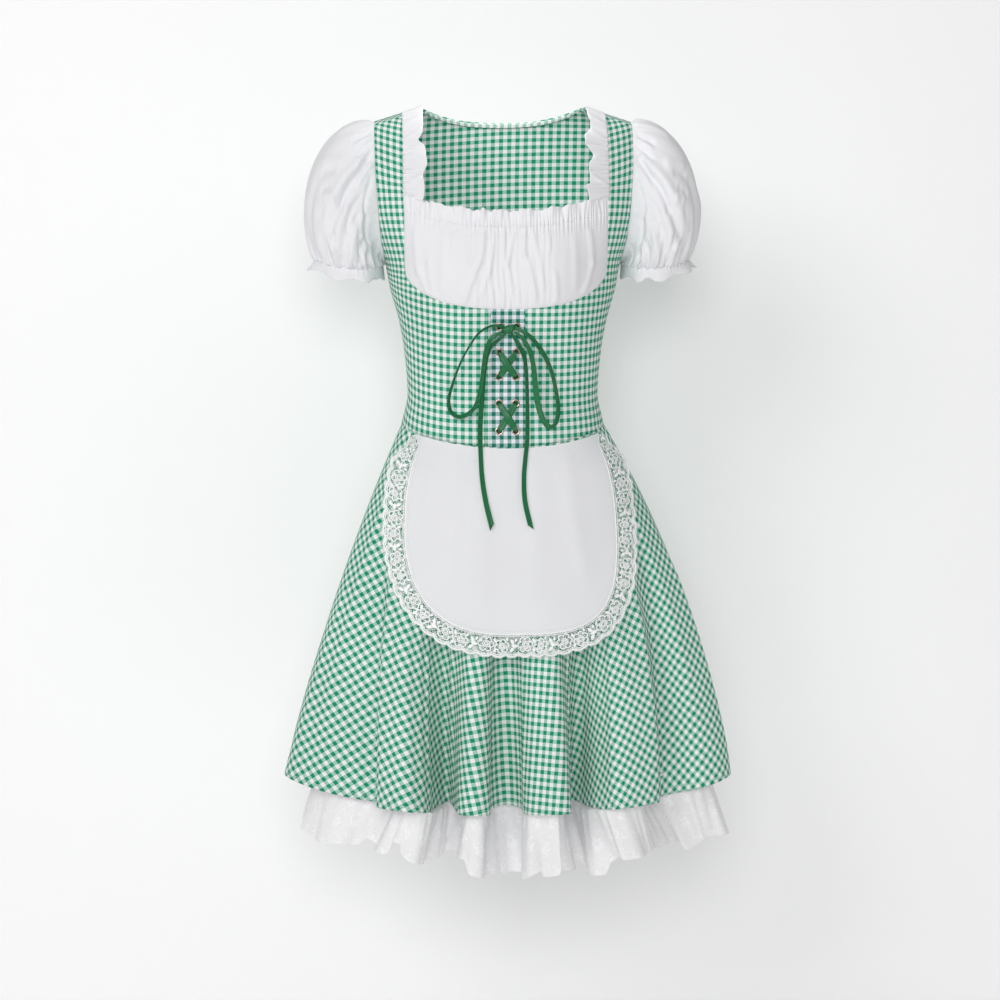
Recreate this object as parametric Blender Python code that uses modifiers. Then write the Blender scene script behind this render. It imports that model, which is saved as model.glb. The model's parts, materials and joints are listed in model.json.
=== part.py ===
"""Dirndl dress filled out as worn: gingham bodice and flared skirt, white bust panel, puff
sleeves, lace-edged apron, laced centre front and a lace flounce under the hem.

Metres, +Z up.  The origin lies midway between the two points where shoulder and neck meet;
the garment faces -Y and its left side, as the viewer sees it, is -X.
"""

import math

import bmesh
import bpy
from mathutils import Vector

for old in list(bpy.data.objects):
    bpy.data.objects.remove(old, do_unlink=True)

# ---------------------------------------------------------------- driving sizes
WALL = 0.0012                 # cloth wall
RIBBON_WALL = 0.0010
SEAM = 0.0003                 # gap between two edges sewn together
ROUND = 2.25                  # how square the body sections are (2 is an ellipse)

WAIST = -0.412                # height of the waist seam
UNDERARM = -0.195
SHOULDER_TIP = (0.157, -0.023)        # x and z where shoulder meets sleeve
NECK_POINT = (0.100, -0.005)          # x and z where shoulder meets neck
SHOULDER_ROUND = 2.6
SHOULDER_START = -0.130       # height at which the chest starts to turn over the shoulder
SHOULDER_GAP = 0.0005
NECK_BACK = -0.026            # lowest point of the back neckline
NECK_ROUND = 2.6
BUST = (0.062, -0.190)        # x and z of the bust's fullest points
BUST_SPREAD = (0.042, 0.045)
BUST_FULLNESS = 0.010
BACK_LEVELS = 15
BACK_ACROSS = 16
BACK_RISE = 0.45              # share of the back's height where its rows start to follow its top
BINDING_WIDTH = 0.0062
BINDING_BELOW = 0.0008        # how far below the neckline's edge the binding lies
BINDING_SHORT = 0.008         # and how far short of the shoulder seams it ends

FRONT_STRETCHES = (
    # where a side front meets the panel, the bust panel's corner, then the strap's inner edge
    # share of its height where the stretch ends, and rows of cloth in it
    (0.38, 5),
    (0.62, 8),
    (1.00, 7),
)
UNDERARM_SHARE = 0.54         # share of a side front's height where the armhole starts
FRONT_ACROSS = 8
CORNER_GAP = 0.0007           # between a side front and the bust panel's round corner
PANEL_HALF = 0.0202           # half the centre panel's width
PANEL_ACROSS = 4
PANEL_TOP_GAP = 0.0006
BIB_HALF = 0.1220
BIB_CORNER = -0.190           # height where the bust panel's lower corners start
BIB_DROP = 0.0546             # from there to its lowest point
BIB_ROUND = 2.4
BIB_TOP = -0.1433             # elastic line at the middle
BIB_TOP_RISE = 0.0138         # and how much higher it is at the sides
BIB_LEVELS = 7
BIB_ACROSS = 36
BIB_EVEN = 0.55               # 0 sets the gathers closer at the sides, 1 sets them evenly
BIB_EDGE = 0.010              # width over which the gathers start at the side seams
GATHER_DEPTH = 0.0016
GATHER_MIDDLE = 0.050         # half width of the middle, where they are deepest
GATHER_LEAST = 0.35           # share of that depth at the sides
GATHER_SLACK = 0.30           # and halfway down
FRILL = 0.0155
FRILL_CELLS = 42
FRILL_WAVE = 0.0024
FRILL_UNEVEN = 0.0012         # rise and fall of its upper edge
STRAP_RUFFLE = 0.0220         # width of the ruffle along each strap
STRAP_RUFFLE_LOW = -0.1105
STRAP_RUFFLE_UNDER = 0.0045   # how far below the shoulder seam it ends
STRAP_RUFFLE_LIFT = (0.0020, 0.0032)  # off the strap, at the seam and at the free edge
STRAP_RUFFLE_WAVE = 0.0014
STRAP_RUFFLE_CELLS = 24

SKIRT_LENGTH = 0.442
SKIRT_GROWTH = 1.5            # folds grow with this power of the way down
HEM_HALF = 0.274
SWELL = {-1: 0.009, 1: 0.022}  # how far each side of the skirt bulges halfway down
HEM_FRONT = 0.186
HEM_BACK = 0.178

TORSO = (
    # z,     half,   front,  back
    (-0.412, 0.1300, 0.1000, 0.0880),
    (-0.388, 0.1240, 0.0970, 0.0850),
    (-0.355, 0.1175, 0.0945, 0.0805),
    (-0.302, 0.1215, 0.1010, 0.0790),
    (-0.265, 0.1278, 0.1090, 0.0810),
    (-0.225, 0.1385, 0.1150, 0.0845),
    (-0.195, 0.1440, 0.1165, 0.0865),
    (-0.160, 0.1560, 0.1130, 0.0870),
    (-0.120, 0.1660, 0.1060, 0.0860),
    (-0.060, 0.1720, 0.0940, 0.0800),
    (0.030, 0.1720, 0.0800, 0.0700),
)
ARMHOLE = (
    # z,     x_front, x_back
    (-0.195, 0.1440, 0.1440),
    (-0.186, 0.1452, 0.1458),
    (-0.165, 0.1490, 0.1500),
    (-0.120, 0.1530, 0.1550),
    (-0.070, 0.1560, 0.1570),
    (-0.023, 0.1570, 0.1570),
)
STRAP_EDGE = (
    # z,     x
    (-0.190, 0.1227),
    (-0.120, 0.1227),
    (-0.070, 0.1205),
    (-0.030, 0.1120),
    (-0.005, 0.1000),
)
# The skirt's hem seen from above, from the left side seam to the right one.
HEM_FRONT_FOLDS = (
    # x,      y
    (-0.272, 0.000),
    (-0.270, -0.048),
    (-0.236, -0.082),
    (-0.194, -0.090),
    (-0.163, -0.104),
    (-0.170, -0.146),
    (-0.148, -0.176),
    (-0.122, -0.183),
    (-0.102, -0.162),
    (-0.094, -0.108),
    (-0.080, -0.094),
    (-0.067, -0.112),
    (-0.064, -0.160),
    (-0.046, -0.179),
    (-0.028, -0.168),
    (-0.021, -0.122),
    (-0.002, -0.104),
    (0.014, -0.120),
    (0.019, -0.166),
    (0.042, -0.181),
    (0.066, -0.183),
    (0.074, -0.150),
    (0.072, -0.104),
    (0.088, -0.088),
    (0.100, -0.108),
    (0.104, -0.154),
    (0.130, -0.170),
    (0.160, -0.158),
    (0.180, -0.140),
    (0.184, -0.106),
    (0.208, -0.084),
    (0.246, -0.092),
    (0.280, -0.068),
    (0.286, 0.000),
)
HEM_BACK_FOLDS = (
    # x,      y
    (-0.272, 0.000),
    (-0.268, 0.052),
    (-0.236, 0.080),
    (-0.206, 0.078),
    (-0.186, 0.108),
    (-0.176, 0.146),
    (-0.146, 0.166),
    (-0.118, 0.150),
    (-0.108, 0.106),
    (-0.088, 0.092),
    (-0.072, 0.112),
    (-0.068, 0.154),
    (-0.044, 0.174),
    (-0.018, 0.164),
    (-0.010, 0.116),
    (0.008, 0.100),
    (0.026, 0.116),
    (0.032, 0.160),
    (0.058, 0.176),
    (0.086, 0.160),
    (0.092, 0.112),
    (0.110, 0.094),
    (0.130, 0.108),
    (0.138, 0.150),
    (0.164, 0.160),
    (0.190, 0.136),
    (0.198, 0.098),
    (0.222, 0.076),
    (0.254, 0.082),
    (0.280, 0.058),
    (0.286, 0.000),
)
FOLD_STEPS = 12               # points between two rows of a hem table
RING_STEPS = 400              # points round half a body section, before it is spaced evenly
SKIRT_CROWD = 0.85            # rows lie closer together towards the hem below 1
SKIRT_FRONT_CELLS = 52
SKIRT_BACK_CELLS = 44
SKIRT_ROWS = 7

FLOUNCE_TOP = 0.940           # where on the skirt it is sewn, 1 at the hem
FLOUNCE_SEWN = 0.0021         # how far inside the skirt's cloth its sewn edge lies
FLOUNCE_INSET = 0.0030        # how far inside the skirt it lies
FLOUNCE_DROP = (
    # x,     drop below the skirt's hem
    (-0.270, 0.076),
    (-0.190, 0.064),
    (-0.130, 0.068),
    (-0.060, 0.072),
    (0.000, 0.086),
    (0.060, 0.080),
    (0.125, 0.064),
    (0.200, 0.069),
    (0.280, 0.084),
)
FLOUNCE_CELLS_A_WAVE = 4
FLOUNCE_WAVE = 0.0100
FLOUNCE_DRIFT = (0.9, 0.31)   # how much and how slowly the waves' spacing changes
FLOUNCE_WALL = 0.0010
FLOUNCE_TUCK = (0.072, 0.004)  # share it draws in below the hem, at the left and at the right
FLOUNCE_EASE = 0.25           # how far its lower edge evens out the skirt's folds

APRON_HALF = (
    # z,     half
    (-0.640, 0.1285),
    (-0.530, 0.1285),
    (-0.480, 0.1265),
    (-0.440, 0.1195),
    (-0.412, 0.1100),
)
APRON_CORNER = -0.500
APRON_DROP = 0.131
APRON_ROUND = 2.6
APRON_OFF = (0.0026, 0.0090)  # clear of the skirt at the waist, and more at full length
APRON_SHIFT = 0.004           # it sits this far to the right of the middle
APRON_SIDE_EASE = 0.019       # how much wider and flatter than the skirt it hangs
APRON_MIDDLE = Vector((0, 0, -0.480))
APRON_TOP = WAIST - 0.0010
APRON_LEVELS = 9
APRON_ACROSS = 12
LACE_WIDTH = 0.0275
LACE_REPEATS = 29
LACE_SCALLOP = 0.0035
LACE_BANDS = (0.0, 0.24, 0.56, 0.72, 1.0)  # shares of the width where its rows of holes lie
LACE_GAP = 0.0007             # between the apron's edge and the lace
LACE_TAKEN_IN = 0.045         # height below the waist over which the waist seam takes it in
LACE_TAKEN_WIDTH = 0.45       # and the share of its width left there
LACE_RIPPLE = 0.0008
LACE_WALL = 0.0010

SLEEVE_CELLS = 32
SLEEVE_ROWS = 7
CAP_FOLDS = 10
CAP_FOLD_DEPTH = 0.0026
CAP_FOLD_DRIFT = 1.3          # how unevenly the folds are spaced
SLEEVE_SEAM = (0.0022, 0.0010)        # gap to the bodice, under the arm and at the shoulder
SLEEVE_SEAM_RISE = 0.0009
SLEEVE_REACH = (0.004, 0.075)         # how far it stands out from the armhole, below and above
SLEEVE_LEAVE = (1.0, 0.62, 0.10)      # direction in which it leaves the armhole
SLEEVE_FULL = (0.036, 0.030, 0.058)   # how far it swells over the cuff: out, round, up
SLEEVE_FULL_UNDER = (0.002, 0.006)    # and under the arm: out, up
SLEEVE_MIDDLE = Vector((0.165, 0.0, -0.115))
ARMHOLE_STEPS = 40
CUFF_CENTRE = (0.1880, 0.0000, -0.1990)
CUFF_HALF = (0.0410, 0.0500)
CUFF_SLANT = 0.0040
CUFF_FRILL = 0.0150
CUFF_WAVES = 12
CUFF_CELLS_A_WAVE = 3
CUFF_DRIFT = 0.9
CUFF_GAP = 0.0008
CUFF_WAVE = 0.0030
CUFF_NEAR_BODY = 0.25         # share of the wave left next to the body

EYELET_X = 0.0100
EYELET_ROWS = (-0.2659, -0.2968, -0.3267, -0.3591, -0.3924)
EYELET_BORE = 0.0025
EYELET_BARREL = 0.0032
EYELET_RIM = 0.0051
EYELET_HOLE = 0.0036
EYELET_SEAT = 0.0062          # half the flat height that carries a pair
EYELET_SIDES = 10
EYELET_LIP = 0.0008
EYELET_BEVEL = 0.0006
DRILL_LENGTH = 0.012
RIBBON_WIDTH = 0.0080
RIBBON_LOOSE = 0.0066         # across the free stretches, whose edges curl
LACED_HALF = 0.0030           # half the laced ribbon's width between eyelets
BORE_HALF = 0.0017            # and squeezed through one
BORE_TURN = 0.0016            # how far from a bore's axis the ribbon turns into it
BORE_CLEAR = 0.0050           # how far from it the ribbon lies flat again
RIBBON_CLEAR = 0.0002         # between the ribbon and an eyelet's rim
KNOT_TIE = (0.0045, -0.2655, 0.0050)  # x, z and lift where the laced stretch meets the knot
KNOT_HALF = (0.0066, 0.0042, 0.0052)
KNOT_HEIGHT = -0.2670
KNOT_LIFT = 0.0092
KNOT_PINCH = (0.45, 0.75)     # share of a free stretch's width where it leaves the knot
KNOT_SIDES = (10, 6)
NORMAL_STEP = 0.0008          # distance over which a surface's slope is measured

# ---------------------------------------------------------------- materials
COLOURS = {
    # name:      (colour,                     roughness, metallic)
    "gingham":   ((0.15, 0.42, 0.29, 1.0), 0.80, 0.0),
    "cotton":    ((0.86, 0.86, 0.87, 1.0), 0.72, 0.0),
    "lace":      ((0.88, 0.88, 0.88, 1.0), 0.78, 0.0),
    "satin":     ((0.01, 0.22, 0.09, 1.0), 0.42, 0.0),
    "eyelet":    ((0.62, 0.50, 0.46, 1.0), 0.32, 1.0),
}


def make_materials():
    made = {}
    for name, (colour, roughness, metallic) in COLOURS.items():
        material = bpy.data.materials.new(name)
        material.use_nodes = True
        shader = material.node_tree.nodes["Principled BSDF"]
        shader.inputs["Base Color"].default_value = colour
        shader.inputs["Roughness"].default_value = roughness
        shader.inputs["Metallic"].default_value = metallic
        made[name] = material
    return made


# ---------------------------------------------------------------- curves and tables
def column(table, at, index):
    """Column `index` of a table at `at` in its first column, on a smooth curve."""
    keys = [row[0] for row in table]
    values = [row[index] for row in table]
    last = len(keys) - 1
    if at <= keys[0]:
        return values[0]
    if at >= keys[last]:
        return values[last]
    i = max(k for k in range(last) if keys[k] <= at)
    steps = [(values[k + 1] - values[k]) / (keys[k + 1] - keys[k]) for k in range(last)]

    def slope(k):
        if k == 0:
            return steps[0]
        if k == last:
            return steps[-1]
        if steps[k - 1] * steps[k] <= 0.0:
            return 0.0
        return 2.0 * steps[k - 1] * steps[k] / (steps[k - 1] + steps[k])

    width = keys[i + 1] - keys[i]
    t = (at - keys[i]) / width
    return (values[i] * (1 + 2 * t) * (1 - t) ** 2 + values[i + 1] * t * t * (3 - 2 * t)
            + width * (slope(i) * t * (1 - t) ** 2 - slope(i + 1) * t * t * (1 - t)))


def spline(points, steps):
    """A smooth curve through all the points, `steps` to each stretch."""
    points = [Vector(p) for p in points]
    ends = [points[0] * 2 - points[1]] + points + [points[-1] * 2 - points[-2]]
    curve = []
    for i in range(1, len(ends) - 2):
        a, b, c, d = ends[i - 1], ends[i], ends[i + 1], ends[i + 2]
        for k in range(steps):
            t = k / steps
            curve.append(0.5 * (2 * b + (c - a) * t + (2 * a - 5 * b + 4 * c - d) * t * t
                                + (3 * b - a - 3 * c + d) * t ** 3))
    curve.append(points[-1])
    return curve


def evenly(curve, cells):
    """The curve's points set out again, evenly by length."""
    along = [0.0]
    for p, q in zip(curve, curve[1:]):
        along.append(along[-1] + (q - p).length)
    found = []
    i = 0
    for k in range(cells + 1):
        want = along[-1] * k / cells
        while i < len(curve) - 2 and along[i + 1] < want:
            i += 1
        t = (want - along[i]) / (along[i + 1] - along[i])
        found.append(curve[i].lerp(curve[i + 1], min(1.0, t)))
    return found


def mix(a, b, t):
    return a + (b - a) * t


def power(value, exponent):
    """A power that keeps the sign."""
    return math.copysign(abs(value) ** exponent, value)


def ease(t):
    t = min(1.0, max(0.0, t))
    return t * t * (3 - 2 * t)


# ---------------------------------------------------------------- the body's surface
def shoulder(x):
    """Height of the shoulder line, carried on beyond the neck."""
    fall = (NECK_POINT[1] - SHOULDER_TIP[1]) / (SHOULDER_TIP[0] - NECK_POINT[0])
    return NECK_POINT[1] - fall * (abs(x) - NECK_POINT[0])


def body_y(x, z, side):
    """Depth of the bodice at x and z: side -1 is the front and 1 is the back."""
    half = column(TORSO, z, 1)
    depth = column(TORSO, z, 2 if side < 0 else 3)
    ring = max(0.0, 1.0 - min(1.0, abs(x) / half) ** ROUND) ** (1 / ROUND)
    up = min(1.0, max(0.0, (z - SHOULDER_START) / (shoulder(x) - SHOULDER_START)))
    turn = max(0.0, 1.0 - up ** SHOULDER_ROUND) ** (1 / SHOULDER_ROUND)
    y = side * depth * ring * turn
    if side < 0:
        across = (abs(x) - BUST[0]) / BUST_SPREAD[0]
        upward = (z - BUST[1]) / BUST_SPREAD[1]
        y -= BUST_FULLNESS * math.exp(-across ** 2 - upward ** 2)
    return y


def body_point(x, z, side, lift=0.0):
    """A point on the bodice, moved out along the surface's normal."""
    step = NORMAL_STEP
    here = Vector((x, body_y(x, z, side), z))
    if not lift:
        return here
    dx = Vector((2 * step, body_y(x + step, z, side) - body_y(x - step, z, side), 0))
    dz = Vector((0, body_y(x, z + step, side) - body_y(x, z - step, side), 2 * step))
    out = dx.cross(dz).normalized()
    if out.y * side < 0:
        out = -out
    return here + out * lift


def angle_of(x, z):
    """Where x lies on the ring at z, as an angle from the right-hand side seam."""
    half = column(TORSO, z, 1)
    return math.acos(max(-1.0, min(1.0, power(x / half, ROUND / 2))))


def x_at(angle, z):
    return column(TORSO, z, 1) * power(math.cos(angle), 2 / ROUND)


# ---------------------------------------------------------------- making cloth
dress = bpy.data.collections.new("dirndl_dress")
cutters = bpy.data.collections.new("cutters")


def grid(rows, closed=False, holes=()):
    """Faces over rows of points; holes are (row, column) cells left open."""
    mesh = bmesh.new()
    verts = [[mesh.verts.new(p) for p in row] for row in rows]
    count = len(rows[0])
    for r in range(len(rows) - 1):
        for c in range(count if closed else count - 1):
            if (r, c) in holes:
                continue
            d = (c + 1) % count
            mesh.faces.new((verts[r][c], verts[r][d], verts[r + 1][d], verts[r + 1][c]))
    return mesh


def cloth(name, material, rows, closed=False, holes=(), wall=WALL, flip=False):
    """A named cloth piece: a surface through the rows, thickened on both sides."""
    form = grid(rows, closed, holes)
    if flip:
        bmesh.ops.reverse_faces(form, faces=form.faces)
    return finish(name, material, form, wall)


def finish(name, material, form, wall):
    data = bpy.data.meshes.new(name)
    form.to_mesh(data)
    form.free()
    piece = bpy.data.objects.new(name, data)
    dress.objects.link(piece)
    data.materials.append(material)
    data.shade_smooth()
    if wall:
        thick = piece.modifiers.new("wall", "SOLIDIFY")
        thick.thickness = wall
        thick.offset = 0.0
    return piece


# ---------------------------------------------------------------- bodice
def back_rows():
    rows = []
    for r in range(BACK_LEVELS + 1):
        t = r / BACK_LEVELS
        level = mix(WAIST, SHOULDER_TIP[1], t)
        on_side = level <= UNDERARM
        edge = column(TORSO, level, 1) if on_side else column(ARMHOLE, level, 2)
        start = angle_of(edge, level)
        row = []
        for c in range(BACK_ACROSS + 1):
            x = x_at(mix(math.pi - start, start, c / BACK_ACROSS), level)
            if c in (0, BACK_ACROSS):
                x = math.copysign(edge, x)
            z = level + (back_top(x) - SHOULDER_TIP[1]) * ease((t - BACK_RISE) / (1 - BACK_RISE))
            point = body_point(x, z, 1)
            if on_side:
                point.y = max(point.y, SEAM / 2)
            if r == BACK_LEVELS:
                point.y += SHOULDER_GAP
            row.append(point)
        rows.append(row)
    for point in rows[0]:
        point.z += SEAM / 2
    return rows


def make_back(material):
    return cloth("bodice_back", material, back_rows())


def back_top(x):
    """The back's upper edge: the shoulders, and the scooped neckline between them."""
    if abs(x) >= NECK_POINT[0]:
        return shoulder(x)
    return mix(NECK_BACK, NECK_POINT[1], (abs(x) / NECK_POINT[0]) ** NECK_ROUND)


def front_edge(t):
    """Inner edge of a side front: centre panel, bust panel's corner, then the strap."""
    panel_end, corner_end = FRONT_STRETCHES[0][0], FRONT_STRETCHES[1][0]
    panel_x = PANEL_HALF + SEAM
    half = BIB_HALF + CORNER_GAP
    drop = BIB_DROP + CORNER_GAP
    across = (panel_x / half) ** (BIB_ROUND / 2)
    panel_top = BIB_CORNER - drop * math.sin(math.acos(across)) ** (2 / BIB_ROUND)
    if t < panel_end:
        return panel_x, mix(WAIST, panel_top, t / panel_end)
    if t < corner_end:
        turn = math.acos(across) * (corner_end - t) / (corner_end - panel_end)
        return half * math.cos(turn) ** (2 / BIB_ROUND), BIB_CORNER - drop * math.sin(turn) ** (
            2 / BIB_ROUND)
    z = mix(BIB_CORNER, NECK_POINT[1], (t - corner_end) / (1 - corner_end))
    return column(STRAP_EDGE, z, 1), z


def front_levels():
    """How far up the side front each row lies: close together round the bust panel."""
    start = 0.0
    for end, rows in FRONT_STRETCHES:
        for k in range(rows):
            yield mix(start, end, k / rows)
        start = end
    yield 1.0


def make_side_front(name, material, side):
    rows = []
    for t in front_levels():
        if t < UNDERARM_SHARE:
            level = mix(WAIST, UNDERARM, t / UNDERARM_SHARE)
        else:
            level = mix(UNDERARM, SHOULDER_TIP[1], (t - UNDERARM_SHARE) / (1 - UNDERARM_SHARE))
        on_side = level <= UNDERARM
        outer_x = column(TORSO, level, 1) if on_side else column(ARMHOLE, level, 1)
        inner_x, inner_z = front_edge(t)
        row = []
        for c in range(FRONT_ACROSS + 1):
            share = c / FRONT_ACROSS
            angle = mix(angle_of(outer_x, level), angle_of(inner_x, inner_z), share)
            x = x_at(angle, mix(level, inner_z, share))
            if c == 0:
                x = outer_x
            if c == FRONT_ACROSS:
                x = inner_x
            z = mix(level, inner_z, (x - outer_x) / (inner_x - outer_x))
            point = body_point(x, z, -1)
            if on_side:
                point.y = min(point.y, -SEAM / 2)
            if t == 1.0:
                point.y -= SHOULDER_GAP
            point.x *= side
            row.append(point)
        rows.append(row)
    for point in rows[0]:
        point.z += SEAM / 2
    return cloth(name, material, rows, flip=side < 0)


def bib_low(x):
    share = min(1.0, abs(x) / BIB_HALF)
    return BIB_CORNER - BIB_DROP * (1 - share ** BIB_ROUND) ** (1 / BIB_ROUND)


def bib_high(x):
    return BIB_TOP + BIB_TOP_RISE * (abs(x) / BIB_HALF) ** 2


def gathers(x, share):
    """How far the bust panel's gathers lift it: strongest in the middle and at the elastic."""
    middle = math.exp(-(x / GATHER_MIDDLE) ** 2)
    fade = mix(GATHER_SLACK, 1.0, (1 - math.sin(math.pi * share)) ** 0.5)
    return GATHER_DEPTH * mix(GATHER_LEAST, 1.0, middle) * fade


def make_bib(material):
    rows = []
    for r in range(BIB_LEVELS + 1):
        share = r / BIB_LEVELS
        row = []
        for c in range(BIB_ACROSS + 1):
            beside = mix(-1, 1, c / BIB_ACROSS)
            x = BIB_HALF * mix(math.sin(math.pi / 2 * beside), beside, BIB_EVEN)
            z = mix(bib_low(x), bib_high(x) - SEAM / 2, share)
            edge = min(1.0, (BIB_HALF - abs(x)) / BIB_EDGE, share * BIB_LEVELS)
            lift = gathers(x, share) * (1 if c % 2 else -1) * max(0.0, edge)
            row.append(body_point(x, z, -1, lift))
        rows.append(row)
    return cloth("bib", material, rows)


def make_bib_frill(material):
    """The header above the elastic: four cells to a wave, unevenly spaced."""
    rows = []
    half = BIB_HALF - 0.0005
    for share in (0.0, 0.5, 1.0):
        row = []
        for c in range(FRILL_CELLS + 1):
            x = half * mix(-1, 1, c / FRILL_CELLS)
            wave = math.sin(c * math.pi / 2 + 0.6 * math.sin(c * 0.9))
            z = bib_high(x) + SEAM / 2 + (FRILL + FRILL_UNEVEN * wave) * share
            row.append(body_point(x, z, -1, (0.0005 + FRILL_WAVE * wave) * share))
        rows.append(row)
    return cloth("bib_frill", material, rows)


def make_strap_ruffle(name, material, side):
    """A ruffle sewn along a strap's inner edge, four cells to a wave."""
    rows = []
    for r in range(STRAP_RUFFLE_CELLS + 1):
        wave = math.sin(r * math.pi / 2 + 0.8 * math.sin(r * 0.7)) * STRAP_RUFFLE_WAVE
        row = []
        for share in (0.0, 0.5, 1.0):
            x = BIB_HALF - (STRAP_RUFFLE + wave) * share
            z = mix(STRAP_RUFFLE_LOW, shoulder(x) - STRAP_RUFFLE_UNDER, r / STRAP_RUFFLE_CELLS)
            point = body_point(x, z, -1, mix(*STRAP_RUFFLE_LIFT, share) + wave * share)
            point.x *= side
            row.append(point)
        rows.append(row)
    return cloth(name, material, rows, flip=side < 0)


def make_neck_binding(material):
    """A strip inside the back's neckline, made from the back's own two upper rows."""
    upper = back_rows()[-1]
    below = back_rows()[-2]
    ends = [c for c, point in enumerate(upper) if abs(point.x) < NECK_POINT[0] - BINDING_SHORT]
    rows = [[], []]
    for c in ends:
        down = (below[c] - upper[c]).normalized()
        across = (upper[c + 1] - upper[c - 1]).normalized()
        inside = across.cross(down).normalized()
        if inside.y > 0:
            inside = -inside
        for row, far in zip(rows, (BINDING_BELOW + BINDING_WIDTH, BINDING_BELOW)):
            row.append(upper[c] + down * far + inside * (WALL + 3 * SEAM))
    return cloth("neck_binding_back", material, rows, wall=RIBBON_WALL)


# ---------------------------------------------------------------- centre panel and eyelets
def make_centre_panel(material):
    """The laced panel: flat across each pair of eyelets, then drilled for them."""
    heights = [WAIST + SEAM / 2]
    for height in reversed(EYELET_ROWS):
        heights += [height - EYELET_SEAT, height + EYELET_SEAT]
    rows = [[body_point(PANEL_HALF * mix(-1, 1, c / PANEL_ACROSS), height, -1)
             for c in range(PANEL_ACROSS + 1)] for height in heights]
    rows.append([body_point(point.x, bib_low(point.x) - PANEL_TOP_GAP, -1) for point in rows[0]])
    panel = cloth("centre_panel", material, rows)
    drills = bmesh.new()
    for height in EYELET_ROWS:
        for side in (-1, 1):
            place, turn = eyelet_place(side, height)
            bmesh.ops.create_cone(drills, cap_ends=True, segments=EYELET_SIDES,
                                  radius1=EYELET_HOLE, radius2=EYELET_HOLE, depth=DRILL_LENGTH,
                                  matrix=turn_matrix(place, turn))
    data = bpy.data.meshes.new("eyelet_drills")
    drills.to_mesh(data)
    drills.free()
    drill = bpy.data.objects.new("eyelet_drills", data)
    drill.hide_render = True
    drill.display_type = "WIRE"
    cutters.objects.link(drill)
    cut = panel.modifiers.new("eyelet_holes", "BOOLEAN")
    cut.operation = "DIFFERENCE"
    cut.solver = "EXACT"
    cut.object = drill
    return panel


def eyelet_place(side, height):
    """Centre of an eyelet on the panel's middle surface, and the outward normal there."""
    x = side * EYELET_X
    low = body_point(x, height - EYELET_SEAT, -1)
    high = body_point(x, height + EYELET_SEAT, -1)
    step = EYELET_BORE
    across = body_point(x + step, height, -1) - body_point(x - step, height, -1)
    out = across.cross(high - low).normalized()
    return (low + high) / 2, out


def turn_matrix(place, out):
    matrix = out.to_track_quat("Z", "Y").to_matrix().to_4x4()
    matrix.translation = place
    return matrix


def make_eyelet(name, material, side, height):
    """A turned eyelet: rim in front, barrel through the cloth, rolled flange behind."""
    place, out = eyelet_place(side, height)
    rim_low = WALL / 2 + SEAM
    profile = (
        # radius,       height along the axis
        (EYELET_BORE, rim_low + EYELET_LIP),
        (EYELET_RIM - EYELET_BEVEL, rim_low + EYELET_LIP),
        (EYELET_RIM, rim_low),
        (EYELET_BARREL, rim_low),
        (EYELET_BARREL, -rim_low),
        (EYELET_BORE, -rim_low - EYELET_BEVEL),
    )
    form = bmesh.new()
    rings = []
    for radius, height_at in profile:
        ring = []
        for k in range(EYELET_SIDES):
            angle = 2 * math.pi * k / EYELET_SIDES
            ring.append(form.verts.new((radius * math.cos(angle), radius * math.sin(angle),
                                        height_at)))
        rings.append(ring)
    for k, ring in enumerate(rings):
        after = rings[(k + 1) % len(rings)]
        for i in range(EYELET_SIDES):
            j = (i + 1) % EYELET_SIDES
            form.faces.new((ring[i], after[i], after[j], ring[j]))
    bmesh.ops.recalc_face_normals(form, faces=form.faces)
    piece = finish(name, material, form, 0.0)
    piece.matrix_world = turn_matrix(place, out)
    piece.data.set_sharp_from_angle(angle=math.radians(40))
    return piece


# ---------------------------------------------------------------- sleeves
def armhole_loop(cells):
    """Points round the armhole, from the underarm up the front, over and down the back."""
    front = [body_point(column(ARMHOLE, z, 1), z, -1) for z in arm_levels()]
    back = [body_point(column(ARMHOLE, z, 2), z, 1) for z in arm_levels()]
    loop = front + back[::-1][1:]
    return evenly([Vector(p) for p in loop], cells)[:-1]


def arm_levels():
    for k in range(ARMHOLE_STEPS + 1):
        turn = math.pi * k / ARMHOLE_STEPS
        yield mix(SHOULDER_TIP[1], UNDERARM, 0.5 + 0.5 * math.cos(turn))


def cuff_point(angle, drop=0.0, flare=0.0):
    """Round the cuff: angle 0 is next to the body, a quarter turn on is the front."""
    out = -math.cos(angle)
    return Vector((CUFF_CENTRE[0] + (CUFF_HALF[0] + flare) * out,
                   CUFF_CENTRE[1] - (CUFF_HALF[1] + flare) * math.sin(angle),
                   CUFF_CENTRE[2] + CUFF_SLANT * out - drop))


def bezier(a, b, c, d, t):
    return (a * (1 - t) ** 3 + b * (3 * t * (1 - t) ** 2) + c * (3 * t * t * (1 - t))
            + d * t ** 3)


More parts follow.
